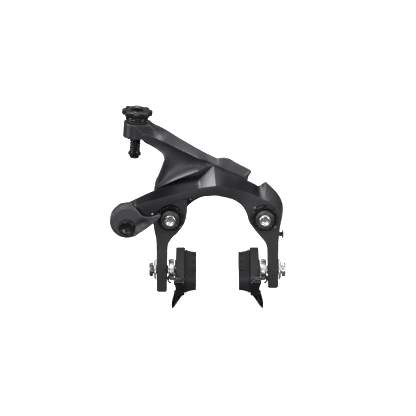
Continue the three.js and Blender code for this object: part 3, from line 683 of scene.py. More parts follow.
def finish(name, dark, light, worn_and_highlight_colour, metallic, rough, grain=4000.0, bump=0.02, edge_wear_and_highlight=1.0, coat=0.0,
           specular=0.5):
    """A finish whose colour runs from dark to light with the smudge, and on its edges to a lighter colour
    that is partly wear and partly a painted highlight.
    """
    material = bpy.data.materials.new(name)
    material.use_nodes = True
    tree = material.node_tree
    shader = tree.nodes["Principled BSDF"]
    shader.inputs["Metallic"].default_value = metallic
    shader.inputs["Coat Weight"].default_value = coat
    shader.inputs["Coat Roughness"].default_value = 0.06
    shader.inputs["Specular IOR Level"].default_value = specular
    texture = group_node(tree, GRAIN, Scale=grain, Smudge_Scale=70.0)
    # The edge mask lightens convex edges: wear, and a painted highlight where ridges catch the light.
    edges = group_node(tree, EDGE_WEAR_AND_HIGHLIGHT, Sharpness=14.0 * edge_wear_and_highlight, Break_Up=900.0)
    body = mixed(tree, texture.outputs["Smudge"], dark, light)
    tinted = tree.nodes.new("ShaderNodeVectorMath")
    tinted.operation = "SCALE"
    speck = map_range(tree, texture.outputs["Grain"], (0.35, 0.65), (0.82, 1.2))
    tree.links.new(body, tinted.inputs[0])
    tree.links.new(speck, tinted.inputs["Scale"])
    colour = mixed(tree, edges.outputs["Mask"], tinted.outputs["Vector"], worn_and_highlight_colour)
    tree.links.new(colour, shader.inputs["Base Color"])
    between = (rough - ROUGH_SPREAD / 2, rough + ROUGH_SPREAD / 2)
    roughness = map_range(tree, texture.outputs["Smudge"], (0.3, 0.7), between)
    tree.links.new(roughness, shader.inputs["Roughness"])
    dents = tree.nodes.new("ShaderNodeBump")
    dents.inputs["Strength"].default_value = bump
    dents.inputs["Distance"].default_value = GRAIN_DEPTH
    tree.links.new(texture.outputs["Grain"], dents.inputs["Height"])
    tree.links.new(dents.outputs["Normal"], shader.inputs["Normal"])
    return material


# %% Finishes by name
# Its light edge colour and strong edge mask paint highlight lines along the arms' ridges, as well as wear.
ALLOY_SATIN = finish("arm_satin", (0.02, 0.02, 0.023), (0.036, 0.036, 0.04), (0.3, 0.3, 0.31), 0.5, 0.37,
                     bump=0.5, edge_wear_and_highlight=2.0)
ALLOY_GLOSS = finish("arm_gloss", (0.003, 0.003, 0.004), (0.005, 0.005, 0.006), (0.06, 0.06, 0.062), 0.0, 0.3,
                     bump=0.05, edge_wear_and_highlight=0.8, specular=0.12)
# A lighter copy of the gloss facet's finish: painted highlight, the light that the facet left of the peak
# reflects.
ALLOY_PAINTED_HIGHLIGHT = finish("arm_painted_highlight_facet", (0.06, 0.06, 0.063), (0.1, 0.1, 0.105), (0.3, 0.3, 0.31), 0.9, 0.34,
                      bump=0.3, edge_wear_and_highlight=0.5)
LEVER_GREY = finish("lever_grey", (0.035, 0.035, 0.039), (0.055, 0.055, 0.06), (0.35, 0.35, 0.36), 0.6, 0.38,
                    bump=0.5, edge_wear_and_highlight=2.0)
BLACK = finish("black_anodised", (0.002, 0.002, 0.003), (0.005, 0.005, 0.006), (0.04, 0.04, 0.045), 0.0, 0.24,
               bump=0.06, coat=0.1, edge_wear_and_highlight=0.8, specular=0.3)
STEEL = finish("bright_steel", (0.45, 0.45, 0.46), (0.62, 0.62, 0.63), (0.8, 0.8, 0.8), 1.0, 0.2, bump=0.15)
DARK_STEEL = finish("dark_steel", (0.06, 0.06, 0.065), (0.11, 0.11, 0.115), (0.3, 0.3, 0.3), 0.9, 0.3,
                    bump=0.2)
SPRING = finish("spring_steel", (0.3, 0.3, 0.31), (0.42, 0.42, 0.43), (0.6, 0.6, 0.6), 1.0, 0.28, bump=0.2)
ALLOY = finish("bright_alloy", (0.52, 0.52, 0.53), (0.66, 0.66, 0.67), (0.8, 0.8, 0.8), 1.0, 0.36, bump=0.15)
RUBBER = finish("pad_rubber", (0.006, 0.006, 0.007), (0.013, 0.013, 0.015), (0.07, 0.07, 0.072), 0.0, 0.62,
                bump=0.6, grain=2600.0, edge_wear_and_highlight=2.0, specular=0.15)
POLYMER = finish("black_polymer", (0.012, 0.012, 0.013), (0.02, 0.02, 0.021), (0.04, 0.04, 0.042), 0.0, 0.45,
                 bump=0.3, grain=2200.0, edge_wear_and_highlight=0.4)


def make_floor_finish():
    """White paper in the view, and dim for the reflections, as a dark studio floor round it would be."""
    material = finish("floor", (0.07, 0.07, 0.07), (0.08, 0.08, 0.08), (0.08, 0.08, 0.08), 0.0, 0.95,
                      grain=900.0, bump=0.0, edge_wear_and_highlight=0.0, specular=0.0)
    tree = material.node_tree
    shader = tree.nodes["Principled BSDF"]
    dim = shader.inputs["Base Color"].links[0].from_socket
    seen = tree.nodes.new("ShaderNodeLightPath")
    white = mixed(tree, seen.outputs["Is Camera Ray"], dim, (0.85, 0.85, 0.85))
    tree.links.new(white, shader.inputs["Base Color"])
    shader.inputs["Emission Color"].default_value = (1, 1, 1, 1)
    glow = math_node(tree, tree.links.new, "MULTIPLY", seen.outputs["Is Camera Ray"], 0.72)
    tree.links.new(glow, shader.inputs["Emission Strength"])
    return material


floor.data.materials.append(make_floor_finish())
print("materials in the file:", len(bpy.data.materials))


def add_piece(piece, body, node, slot, *finishes):
    """Gives a piece its finishes and its body, and hides the CAD node that it stands for. The slot is not
    used.
    """
    for material in finishes:
        if material.name not in piece.data.materials:
            piece.data.materials.append(material)
    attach(piece, body)
    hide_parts(node)


def face_counts(*pieces):
    return [len(piece.data.polygons) for piece in pieces]


# %% [markdown]
# ## Turned pieces
#
# Bolts, bushes, washers and the knob are turned on a lathe, so each is one profile
# swept round an axis. A real lathe part has no perfectly sharp corner, so every corner
# of a profile is eased by a small curve before it is swept. A point of a profile may
# also say that its ring isn't round: a hex socket, a lobed knob or a notched ring is
# then still one clean mesh, with no Boolean to leave slivers behind.


# %% Profiles and sweeps
def eased(points, radius):
    """A closed profile of (radius, height, kind) with each corner replaced by a small curve."""
    curve = []
    for i, (r, h, kind) in enumerate(points):
        here = np.array([r, h])
        ways = []
        for other in (points[i - 1], points[(i + 1) % len(points)]):
            way = np.array(other[:2]) - here
            ways.append(here + way * min(radius / (np.hypot(*way) + 1e-9), 0.4))
        if r < 0.01:
            curve.append((0.0, h, kind))
            continue
        for t in (0, 0.3, 0.7, 1):
            spot = (1 - t)**2 * ways[0] + 2 * t * (1 - t) * here + t**2 * ways[1]
            curve.append((max(spot[0], 0.0), spot[1], kind))
    return curve


def ring_radius(kind, r, turn):
    """The radius of a ring at each angle: round, hex, lobed, slotted or notched."""
    if kind == "hex":
        part = (turn + math.pi / 6) % (math.pi / 3) - math.pi / 6
        return r / np.cos(part)
    if kind == "lobes":
        return r * (1 + 0.065 * np.clip(1.5 * np.cos(8 * turn), -1, 1))
    if kind == "slot":
        from_front = np.abs((turn - 0.5 * math.pi) % (2 * math.pi) - math.pi)
        return np.where(from_front < 0.24, min(r, 1.9), r)
    if kind == "notches":
        part = np.abs((turn + math.pi / 8) % (math.pi / 4) - math.pi / 8)
        return r - 1.3 * (1 - smooth_step(part, 0.10, 0.13))
    return np.full_like(turn, r)


AXES = {
    "x": lambda a, b, h: (h, a, b),
    "y": lambda a, b, h: (a, h, b),
    "z": lambda a, b, h: (a, b, h),
}


def turned(name, profile, axis="y", centre=(0, 0, 0), ease=0.15, steps=72, lean_angle=0.0):
    """A piece swept round an axis from a closed profile in mm."""
    rings = eased([p if len(p) == 3 else (*p, "round") for p in profile], ease)
    turn = np.linspace(0, 2 * math.pi, steps, endpoint=False)
    points = []
    for r, h, kind in rings:
        reach = ring_radius(kind, r, turn)
        points.append(np.column_stack(AXES[axis](reach * np.cos(turn), reach * np.sin(turn), h + 0 * turn)))
    points = np.vstack(points)
    if lean_angle:
        c, s = math.cos(lean_angle), math.sin(lean_angle)
        x, z = points[:, 0].copy(), points[:, 2].copy()
        points[:, 0], points[:, 2] = x * c + z * s, z * c - x * s
    points = (points + np.array(centre)) * MM
    faces = []
    for i in range(len(rings)):
        j = (i + 1) % len(rings)
        for k in range(steps):
            m = (k + 1) % steps
            faces.append((i * steps + k, i * steps + m, j * steps + m, j * steps + k))
    mesh = bpy.data.meshes.new(name)
    mesh.from_pydata([tuple(p) for p in points], [], faces)
    piece = new_object(name, mesh)
    tidy_mesh(piece, 30)
    return piece


def merged(name, *pieces):
    """Several pieces as one, under one name."""
    work = bmesh.new()
    for piece in pieces:
        work.from_mesh(piece.data)
    mesh = bpy.data.meshes.new(name)
    work.to_mesh(mesh)
    work.free()
    for piece in pieces:
        bpy.data.objects.remove(piece)
    piece = new_object(name, mesh)
    piece.data.set_sharp_from_angle(angle=math.radians(32))
    return piece


# %% [markdown]
# ## Coils by Geometry Nodes
#
# A thread and a spring are one shape repeated along a spiral. One node tree makes them
# both: a spiral curve, swept by a small circle. Its inputs are the number of turns, the
# height, the radius, the wire and the finish, so a fine thread and a fat spring differ
# only in the numbers that they are given.

# %% The coil tree
def make_coil_tree():
    tree = bpy.data.node_groups.new("coil", "GeometryNodeTree")
    tree.interface.new_socket("Geometry", in_out="INPUT", socket_type="NodeSocketGeometry")
    for label, value in (("Turns", 3.0), ("Height", 0.004), ("Radius", 0.003), ("Wire", 0.0003)):
        socket = tree.interface.new_socket(label, in_out="INPUT", socket_type="NodeSocketFloat")
        socket.default_value = value
    tree.interface.new_socket("Finish", in_out="INPUT", socket_type="NodeSocketMaterial")
    tree.interface.new_socket("Geometry", in_out="OUTPUT", socket_type="NodeSocketGeometry")
    start = tree.nodes.new("NodeGroupInput")
    spiral = tree.nodes.new("GeometryNodeCurveSpiral")
    spiral.inputs["Resolution"].default_value = 28
    section = tree.nodes.new("GeometryNodeCurvePrimitiveCircle")
    section.inputs["Resolution"].default_value = 10
    sweep = tree.nodes.new("GeometryNodeCurveToMesh")
    sweep.inputs["Fill Caps"].default_value = True
    whole = tree.nodes.new("GeometryNodeRealizeInstances")
    paint = tree.nodes.new("GeometryNodeSetMaterial")
    end = tree.nodes.new("NodeGroupOutput")
    join = tree.links.new
    join(start.outputs["Turns"], spiral.inputs["Rotations"])
    join(start.outputs["Height"], spiral.inputs["Height"])
    join(start.outputs["Radius"], spiral.inputs["Start Radius"])
    join(start.outputs["Radius"], spiral.inputs["End Radius"])
    join(start.outputs["Wire"], section.inputs["Radius"])
    join(spiral.outputs["Curve"], sweep.inputs["Curve"])
    join(section.outputs["Curve"], sweep.inputs["Profile Curve"])
    join(sweep.outputs["Mesh"], whole.inputs["Geometry"])
    join(whole.outputs["Geometry"], paint.inputs["Geometry"])
    join(start.outputs["Finish"], paint.inputs["Material"])
    join(paint.outputs["Geometry"], end.inputs["Geometry"])
    return tree


COIL = make_coil_tree()


def coil(name, turns, height, radius, wire, place, finish):
    """A coil in mm, made along z and then put in place by a matrix."""
    seed = new_object(name + "_seed", bpy.data.meshes.new(name + "_seed"))
    maker = seed.modifiers.new("coil", "NODES")
    maker.node_group = COIL
    names = {item.name: item.identifier for item in COIL.interface.items_tree if item.in_out == "INPUT"}
    sizes = {"Turns": turns, "Height": height * MM, "Radius": radius * MM, "Wire": wire * MM}
    for label, value in sizes.items():
        maker[names[label]] = float(value)
    maker[names["Finish"]] = finish
    ready = seed.evaluated_get(bpy.context.evaluated_depsgraph_get())
    mesh = bpy.data.meshes.new_from_object(ready)
    mesh.name = name
    mesh.transform(place)
    bpy.data.objects.remove(seed)
    piece = new_object(name, mesh)
    tidy_mesh(piece, 40)
    return piece


def place_along_y(x, y, turn=0.0):
    """The matrix that lays a coil's axis along the frame's y, starting at a point in mm."""
    laid = Matrix.Translation(Vector((x, y, 0)) * MM) @ Matrix.Rotation(-math.pi / 2, 4, "X")
    return laid @ Matrix.Rotation(turn, 4, "Z")


print("coil tree nodes:", len(COIL.nodes))


# %% [markdown]
# ## Pivots, anchor and adjuster
#
# Each pivot is a steel bush held by a notched black ring, with the bright mounting
# bolt down its middle. The cable anchor and the adjuster are turned in the same way.
# The barrel's ridges stop at its slot, which lets the bare cable be slipped in.

# %% Pivots
SIDES = ((-1, "left"), (1, "right"))

for side, word in SIDES:
    x = PIVOT_X * side
    bush = turned(word + "_bush_sleeve", [
        (3.9, -21.8), (4.5, -21.8), (4.6, -21.55), (4.85, -21.55), (4.95, -21.8), (5.4, -21.8), (5.4, -17),
        (6, -17), (6, -3), (3.3, -3), (3.3, -20.4), (3.9, -20.4),
    ], centre=(x, 0, 0), ease=0.12)
    add_piece(bush, "fork_mount", word + "_pivot_bush", "bright_steel", DARK_STEEL)
    shank = turned(word + "_bolt_shank", [
        (0, -22.7, "hex"), (1.9, -22.7, "hex"), (1.9, -24.1, "hex"), (2.35, -24.45), (3.05, -24.5),
        (3.5, -24.0), (3.5, -20.7), (3, -20.7), (3, 0.4), (2.75, 0.6), (2.75, 12.2), (2.1, 13), (0, 13),
    ], centre=(x, 0, 0), ease=0.1)
    thread = coil(word + "_bolt_thread", 11, 11, 2.72, 0.3, place_along_y(x, 1.0), STEEL)
    bolt = merged(word + "_bolt", shank, thread)
    add_piece(bolt, "fork_mount", word + "_mounting_bolt", "bright_steel", STEEL)
    ring = turned(word + "_ring_nut", [
        (5.7, -17.3), (8, -17.3), (8, -18.6), (7.95, -18.7, "notches"), (7.95, -19.4, "notches"),
        (7.6, -19.8, "notches"), (6.5, -19.8), (6.4, -19.6), (5.9, -19.6), (5.7, -19.4),
    ], centre=(x, 0, 0), ease=0.1, steps=144)
    add_piece(ring, "fork_mount", word + "_lock_ring", "black_anodised", BLACK)
    arm_body, start_angle = ("rear_arm", math.pi) if side < 0 else ("front_arm", 0)
    spring = coil(word + "_spring", 2.75, 4.26, 7.6, 0.6, place_along_y(x, -9.3, start_angle), SPRING)
    add_piece(spring, arm_body, word + "_return_spring", "spring_steel", SPRING)
print("bush, bolt, ring and spring faces:", face_counts(bush, bolt, ring, spring))

# %% Synchronising pin and roller, centring screw
SYNC = (0, 0, SYNC_Z)
pin = turned("sync_pin_turned", [(0, -15), (1.2, -15), (1.5, -14.7), (1.5, -4.4), (0, -4.4)], centre=SYNC)
add_piece(pin, "rear_arm", "sync_pin", "bright_steel", STEEL)
roller = turned("sync_roller_turned", [
    (1.8, -9.9), (2.8, -9.9), (3, -10.1), (3, -12), (2.85, -12.1), (2.85, -12.4), (3, -12.5), (3, -14.4),
    (2.8, -14.6), (1.8, -14.6),
], centre=SYNC, ease=0.05)
add_piece(roller, "sync_roller", "sync_roller", "black_polymer", POLYMER)
screw = turned("centring_screw_turned", [
    (0, -1.6), (1.3, -1.6), (1.3, 1.7), (2.4, 1.7), (2.4, 2.5), (2.1, 2.9), (1.35, 2.9), (1.1, 2.7, "hex"),
    (1.1, 1.9, "hex"), (0, 1.9, "hex"),
], axis="x", centre=(36.5, -11, -12.6), ease=0.08)
add_piece(screw, "centring_screw", "centring_screw", "black_anodised", BLACK)
print("pin, roller and screw faces:", face_counts(pin, roller, screw))

# %% Cable anchor
ANCHOR = (LEVER_AXIS[0], 0, -3.3)
anchor_bolt = turned("anchor_bolt_turned", [
    (0, -25.3, "hex"), (1.45, -25.3, "hex"), (1.45, -26.0, "hex"), (1.9, -26.15), (3.5, -26.6), (3.7, -26.4),
    (4.0, -26.4), (4.15, -26.8), (4.4, -26.8), (4.7, -26.4), (4.7, -24.6), (2.5, -24.6), (2.5, -6), (0, -6),
], centre=ANCHOR, ease=0.08)
add_piece(anchor_bolt, "quick_release", "cable_anchor_bolt", "black_anodised", BLACK)
clamp = turned("clamp_plate_turned", [(2.8, -11.9), (5.2, -11.9), (5.2, -10.4), (2.8, -10.4)],
               centre=ANCHOR, ease=0.2)
add_piece(clamp, "quick_release", "cable_clamp_plate", "bright_steel", STEEL)
nut = turned("anchor_nut_turned", [
    (2.8, -9), (3.9, -9), (4.33, -8.7, "hex"), (4.33, -6.7, "hex"), (3.9, -6.4), (2.8, -6.4),
], centre=ANCHOR, ease=0.05)
add_piece(nut, "quick_release", "cable_anchor_nut", "bright_steel", STEEL)
print("anchor bolt, clamp and nut faces:", face_counts(anchor_bolt, clamp, nut))

# %% Cable adjuster
BARREL_RIDGES = 6
RIDGE_PITCH = 1.45

knob = turned("adjuster_knob_turned", [
    (3.55, 6.1), (6.3, 6.1), (6.7, 6.4), (6.7, 7.2), (6.2, 7.5), (6.2, 8.5), (7.9, 8.7, "lobes"),
    (8.5, 9.3, "lobes"), (8.6, 11.5, "lobes"), (8.1, 12.2, "lobes"), (7.0, 12.3, "lobes"), (6.2, 11.6),
    (4.4, 11.4), (4.2, 11.9), (3.55, 11.9),
], axis="z", centre=ADJUSTER, ease=0.3, steps=144, lean_angle=LEAN)
add_piece(knob, "adjuster_knob", "adjuster_knob", "black_anodised", BLACK)
ridges = []
for ridge in range(BARREL_RIDGES):
    low = -13.5 + RIDGE_PITCH * ridge
    ridges += [(r, low + up, "slot") for r, up in ((2.7, 0), (3.25, 0.35), (3.25, 0.75), (2.7, 1.1))]
barrel = turned("adjuster_barrel_turned", [
    (1.2, -17.6), (2.5, -17.6), (3.05, -16.6, "slot"), (3.05, -15.7, "slot"), (3.9, -15.6, "slot"),
    (3.9, -14.1, "slot"), (2.9, -14, "slot"), *ridges, (2.9, -4.6, "slot"), (2.9, -4.4), (2.9, 11), (2.4, 11),
    (2.4, 4), (1.2, 4),
], axis="z", centre=ADJUSTER, ease=0.12, lean_angle=LEAN, steps=96)
add_piece(barrel, "adjuster_barrel", "adjuster_barrel", "black_anodised", BLACK)
seal = turned("adjuster_seal_turned", [(3.9, 5), (5.8, 5), (5.8, 5.8), (3.9, 5.8)], axis="z", centre=ADJUSTER,
              ease=0.2, lean_angle=LEAN)
add_piece(seal, "rear_arm", "adjuster_seal", "black_polymer", POLYMER)
print("knob, barrel and seal faces:", face_counts(knob, barrel, seal))

# %% [markdown]
# ## Quick-release lever and booster plate
#
# Both are reliefs too. The lever's head is a flat disc with a sunk seat for the anchor
# bolt. Its tail has a scoop for the thumb, crossed by fine ribs for grip.

# %% Lever
def from_lever(points):
    """Points that are measured from the lever's axis, as [x, z] of the frame."""
    return [(x + LEVER_AXIS[0], z) for x, z in points]


LEVER_LOOP = outline(
    from_lever(arc((0, 0), 10.2, 60, 309, 90)),
    from_lever([(6.8, -7.6), (10.4, -5.2), (14.6, -1.9), (17.5, 0.6)]),
    from_lever([(19.3, 2.4), (19.6, 3.9)]),
    from_lever([(18.4, 4.6), (14.2, 3.2), (10.5, 3.3), (8.4, 4.6), (7, 6.4)]),
)
ANCHOR_SPOT = (LEVER_AXIS[0], -3.3)
ANCHOR_HOLE = circle(ANCHOR_SPOT, 2.8)
LEVER_FACE = -26
SEAT_FACE = -24.3
LEVER_SHEET = -19
RIB_PITCH = 1.15
RIB_HEIGHT = 0.16


def lever_front(x, z):
    """The disc with its raised rim, the tail's scoop and ribs, and the sunk seat."""
    u = x - LEVER_AXIS[0]
    scoop = 1.3 * np.exp(-((u - 9.5)**2 / 12 + (z + 0.8 - 0.45 * (u - 9.5))**2 / 5))
    ribs = RIB_HEIGHT * np.cos(2 * math.pi * (u * 0.78 + z * 0.62) / RIB_PITCH) * smooth_step(u, 8.5, 10)
    from_rim = distance_to(np.column_stack([x, z]), [(LEVER_LOOP, True)])
    ribs = ribs * (1 - smooth_step(from_rim, 1.6, 2.2))
    rim = 0.35 * smooth_step(np.hypot(u, z), 8.6, 9.0) * (1 - smooth_step(u, 3, 6))
    height = LEVER_FACE + scoop + ribs * (z < u * 0.3) + rim
    return np.where(np.hypot(u, z - ANCHOR_SPOT[1]) < 5.04, SEAT_FACE, height)


def lever_back(x, z):
    return LEVER_SHEET - 1.3 * smooth_step(x - LEVER_AXIS[0], 5, 8)


lever_head = relief(
    "lever_head", LEVER_LOOP, lever_front, lever_back, holes=[ANCHOR_HOLE],
    folds=[(circle(ANCHOR_SPOT, r), True) for r in (5.0, 5.1)], step=0.32, edge=0.7,
)
hub = relief(
    "lever_hub", circle(LEVER_AXIS, 6.5), flat(-19.4), flat(-12.2), holes=[ANCHOR_HOLE], step=0.8, edge=0.3,
)
lever = merged("lever", lever_head, hub)
add_piece(lever, "quick_release", "quick_release_lever", "arm_alloy", LEVER_GREY)
print("lever faces:", face_counts(lever))

# %% Booster plate
BOOSTER_LOOP = outline(
    [tuple(p) for p in arc((-PIVOT_X, 0), 8.2, 112, 350, 60)],
    [(-19.9, -1.3), (-16.3, 3.2), (-12, 6.3), (-6.3, 8.4), (0, 9.5), (6.3, 8.4), (12, 6.3), (16.3, 3.2)],
    [tuple(p) for p in arc((PIVOT_X, 0), 8.2, 190, 428, 60)],
    [(30.8, 7.7), (23.1, 11.6), (15.3, 14.5), (7.6, 16.5), (0, 17.5), (-7.6, 16.5), (-15.3, 14.5),
     (-23.1, 11.6)],
)


def booster_front(x, z):
    """A flat plate with a shallow hollow along its middle."""
    from_rim = distance_to(np.column_stack([x, z]), [(BOOSTER_LOOP, True)])
    hollow = smooth_step(from_rim, 1.8, 2.6) * (np.abs(x) < 17)
    return -2.7 + 0.7 * hollow * (1 - smooth_step(np.abs(x), 14, 17))


booster = relief(
    "booster_forging", BOOSTER_LOOP, booster_front, flat(0),
    holes=[circle((x, 0), 3.4) for x in (-PIVOT_X, PIVOT_X)], step=0.6, edge=0.4,
)
add_piece(booster, "fork_mount", "booster_plate", "black_anodised", BLACK)

# The two arms were made first and get their finishes here, in the order of their face zones.
add_piece(front_arm, "front_arm", "front_arm", "arm_alloy", ALLOY_SATIN, ALLOY_GLOSS, ALLOY_PAINTED_HIGHLIGHT)
add_piece(rear_arm, "rear_arm", "rear_arm", "arm_alloy", ALLOY_SATIN)
print("plate faces:", face_counts(booster))

# %% [markdown]
# ## Brake shoes
#
# A shoe is a channel that holds a rubber pad. Both follow the curve of the rim, so
# their outlines drop a little towards the ends. The same relief makes them, turned so
# that its front looks along the wheel's axle, and mirrored for the other side.

# %% Shoe outlines
RIM_RADIUS = 311
SHOE_CENTRE = (0, -11, -35)


def drop(u):
    """How far the rim's curve falls at a distance along the shoe."""
    return RIM_RADIUS - np.sqrt(RIM_RADIUS**2 - np.asarray(u, float)**2)


def shoe_loop(half_height, half_length, corner):
    """A long shape with cut corners that follows the rim's curve."""
    along = np.linspace(-half_length + corner, half_length - corner, 12)
    low = [(u, -half_height - drop(u)) for u in along]
    high = [(u, half_height - drop(u)) for u in along[::-1]]
    end = float(drop(half_length))
    k = 0.35 * corner
    return outline(
        low[:-1],
        [low[-1], (half_length - k, -half_height - end + k), (half_length, -half_height - end + corner)],
        [(half_length, half_height - end - corner), (half_length - k, half_height - end - k)],
        high[:-1],
        [high[-1], (-half_length + k, half_height - end - k), (-half_length, half_height - end - corner)],
        [(-half_length, -half_height - end + corner), (-half_length + k, -half_height - end + k)],
    )


def shoe_turn(side):
    """Turns a relief so that its front, which has a height of minus x, faces out from the wheel."""
    return lambda v: np.column_stack([-side * v[:, 1], v[:, 0] + SHOE_CENTRE[1], v[:, 2] + SHOE_CENTRE[2]])


def pad_turn(side):
    """The same for a piece whose front faces the rim: its height is x itself."""
    return lambda v: np.column_stack([side * v[:, 1], v[:, 0] + SHOE_CENTRE[1], v[:, 2] + SHOE_CENTRE[2]])


# %% Shoe holders
HOLDER_LOOP = shoe_loop(6.0, 27.25, 1.3)
print("drop at the holder's ends in mm:", round(float(drop(27.25)), 2))
CHANNEL_LOOP = shoe_loop(4.2, 25.2, 0.6)
SCREW_SPOT = (-18.25, -1.2)
HOLDER_FACE = -24.9
HOLDER_SUNK = 0.8
BOLT_LAND = -25.4


def holder_front(u, w):
    """The holder's outer side: a sunk panel, a boss for the pad screw and a land for the bolt."""
    level = w + drop(u)
    sunk = smooth_step(3.9 - np.abs(level), 0, 0.5) * smooth_step(24.5 - np.abs(u), 0, 0.6)
    height = HOLDER_FACE + HOLDER_SUNK * sunk
    screw_boss = np.hypot(u - SCREW_SPOT[0], w - SCREW_SPOT[1])
    height = np.minimum(height, -24.0 - 1.3 * (1 - smooth_step(screw_boss, 3.1, 3.6)))
    return np.where(np.hypot(u, w) < 6.0, np.minimum(height, BOLT_LAND), height)


def holder_back(u, w):
    return np.where(is_inside(np.column_stack([u, w]), CHANNEL_LOOP), -21.8, -19.3)


def near_tab(side):
    """The round-topped lug on the near end of a holder."""
    tab = turned("tab", [(0, 20.6), (2.3, 20.6), (2.3, 25.9), (0, 25.9)], axis="x",
                 centre=(0, -37.1, -33.1), ease=1.0, steps=40)
    if side < 0:
        mirror(tab)
    return tab


def mirror(piece):
    """Mirrors a piece through the wheel's plane."""
    piece.data.transform(Matrix.Scale(-1, 4, (1, 0, 0)))
    piece.data.flip_normals()


FIN_LOOP = outline(
    [(19.6, -40.4)],
    [(20.4, -42.2), (23.2, -46.2), (25.4, -49.6)],
    [(26.5, -50.6), (27.1, -50.4)],
    [(27.3, -49.6), (27.0, -46.5), (26.2, -43.4)],
    [(25.6, -40.4)],
)
HOOK_LOOP = outline(
    [(24.4, -29.8)],
    [(27.9, -29.8), (28.5, -30.5), (28.7, -32.4), (28.3, -33.3)],
    [(27.3, -33.6)],
    [(27.3, -34.4), (28.6, -34.3), (29.3, -33.0), (29.4, -30.2), (28.6, -29.0)],
    [(24.4, -29.0)],
)


def fin_front(x, z):
    """The fin's front, thinner in its middle than along its edge."""
    inner = distance_to(np.column_stack([x, z]), [(FIN_LOOP, True)])
    return -36.2 + 1.8 * smooth_step(inner, 0.5, 1.5)


for side, word in SIDES:
    channel = relief(
        "channel", HOLDER_LOOP, holder_front, holder_back,
        holes=[circle((0, 0), 2.8, 40), circle(SCREW_SPOT, 1.9, 32)],
        folds=[(CHANNEL_LOOP, True), (circle((0, 0), 5.9), True)],
        step=0.6, edge=0.7, turn=shoe_turn(side),
    )
    fin = relief("fin", FIN_LOOP, fin_front, flat(-31.3), step=0.35, edge=0.45)
    hook = relief("hook", HOOK_LOOP, flat(-37.2), flat(-35.4), step=0.3, edge=0.25)
    for extra in (fin, hook):
        if side < 0:
            mirror(extra)
    holder = merged(word + "_holder", channel, near_tab(side), fin, hook)
    add_piece(holder, word + "_shoe", word + "_shoe_holder", "black_anodised", BLACK)
print("holder faces:", face_counts(holder))

# %% Brake pads
PAD_LOOP = shoe_loop(5.1, 24.95, 0.8)
PAD_CORE = shoe_loop(3.8, 24.2, 0.9)
PAD_SEAT = shoe_loop(4.1, 25.1, 0.6)
RIM_FACE = 12.5
GROOVES = (-11.5, 3, 17)
GROOVE_HALF_WIDTH = 0.7
GROOVE_FLOOR = 15.2


def groove_line(groove, w):
    """Where a groove crosses the pad at a height: it slants a little."""
    return groove - 0.12 * (w + 1)


def pad_front(u, w):
    """The rim face, with its cross grooves, and sides that flare towards the holder."""
    points = np.column_stack([u, w])
    outside = ~is_inside(points, PAD_CORE)
    away = np.clip(distance_to(points, [(PAD_CORE, True)]) / 1.3, 0, 1)
    flare = RIM_FACE + 5.6 * (1 - (1 - away)**2.4)
    face = np.full_like(u, RIM_FACE)
    for groove in GROOVES:
        face = np.where(np.abs(u - groove_line(groove, w)) < GROOVE_HALF_WIDTH, GROOVE_FLOOR, face)
    return np.where(outside, np.maximum(flare, face), face)


def pad_back(u, w):
    return np.where(is_inside(np.column_stack([u, w]), PAD_SEAT), 21.5, 19.2)


PAD_FOLDS = [(PAD_CORE, True), (shoe_loop(4.1, 24.6, 0.6), True)]
for groove in GROOVES:
    for wall in (groove - GROOVE_HALF_WIDTH, groove + GROOVE_HALF_WIDTH):
        line = np.array([(groove_line(wall, w), w) for w in np.linspace(-7, 7, 30)])
        PAD_FOLDS += pair(line, 0.1)

for side, word in SIDES:
    pad = relief(
        word + "_pad", PAD_LOOP, pad_front, pad_back, folds=PAD_FOLDS, edge=0.35, turn=pad_turn(side),
    )
    add_piece(pad, word + "_shoe", word + "_brake_pad", "pad_rubber", RUBBER)
print("pad faces:", face_counts(pad))

# %% Shoe bolts and washers
BALL_CENTRE = 39          # the point that a shoe tilts about


def seat(radius, ball):
    """Where a ball-shaped seat lies, as a distance from the wheel's plane."""
    return BALL_CENTRE - math.sqrt(ball**2 - radius**2)


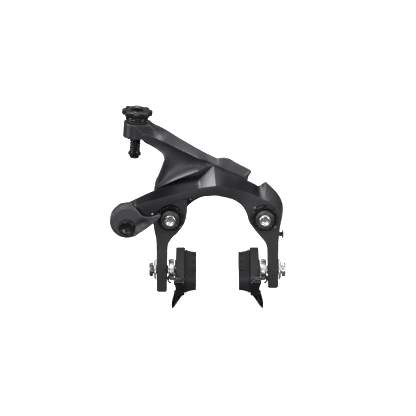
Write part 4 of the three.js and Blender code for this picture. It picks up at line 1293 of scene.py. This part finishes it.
CUP, BALL = 12.3, 12
WASHERS = {
    "cup_washer": ("shoe", [
        (3, 25.7), (6.6, 25.7), (6.6, 28.2), *[(r, seat(r, CUP)) for r in (6.3, 4.7, 3)],
    ]),
    "ball_washer": ("shoe_height", [
        *[(r, seat(r, BALL)) for r in (3.9, 4.9, 6.3)], (6.3, 29.2), (3.9, 29.2),
    ]),
    "outer_washer": ("shoe_height", [(3.6, 36.6), (6.2, 36.6), (6.2, 37.3), (4.8, 37.9), (3.6, 37.5)]),
}
SHOE_BOLT = [
    (0, 22.3), (2.3, 22.3), (2.5, 22.6), (2.5, 38.3), (4.3, 38.3), (4.3, 39.7), (3.6, 40.7), (2.4, 40.7),
    (2.0, 40.4, "hex"), (2.0, 39.2, "hex"), (0, 39.2, "hex"),
]
PAD_SCREW = [
    (0, 21.8), (1.6, 21.8), (1.6, 25.1), (1.3, 25.2), (0.9, 25.2), (0.75, 25.0, "hex"), (0.75, 23.7, "hex"),
    (0, 23.7, "hex"),
]

for side, word in SIDES:
    for node, (body, profile) in WASHERS.items():
        washer = turned(word + "_" + node + "_turned", profile, axis="x", centre=SHOE_CENTRE, ease=0.1)
        if side < 0:
            mirror(washer)
        add_piece(washer, word + "_" + body, word + "_" + node, "bright_alloy", ALLOY)
    shank = turned(word + "_shoe_shank", SHOE_BOLT, axis="x", centre=SHOE_CENTRE, ease=0.1)
    along_x = Matrix.Translation(Vector((23.2, *SHOE_CENTRE[1:])) * MM) @ Matrix.Rotation(math.pi / 2, 4, "Y")
    thread = coil(word + "_shoe_thread", 9, 7.2, 2.3, 0.24, along_x, STEEL)
    bolt = merged(word + "_shoe_bolt_turned", shank, thread)
    screw = turned(word + "_pad_screw_turned", PAD_SCREW, axis="x", centre=(0, -29.25, -36.2), ease=0.06,
                   steps=48)
    bolt_slot, bolt_finish = "bright_steel", STEEL
    if side < 0:
        mirror(bolt)
        mirror(screw)
        bolt_slot, bolt_finish = "dark_steel", DARK_STEEL
    add_piece(bolt, word + "_shoe", word + "_shoe_bolt", bolt_slot, bolt_finish)
    add_piece(screw, word + "_shoe", word + "_pad_screw", "bright_steel", STEEL)
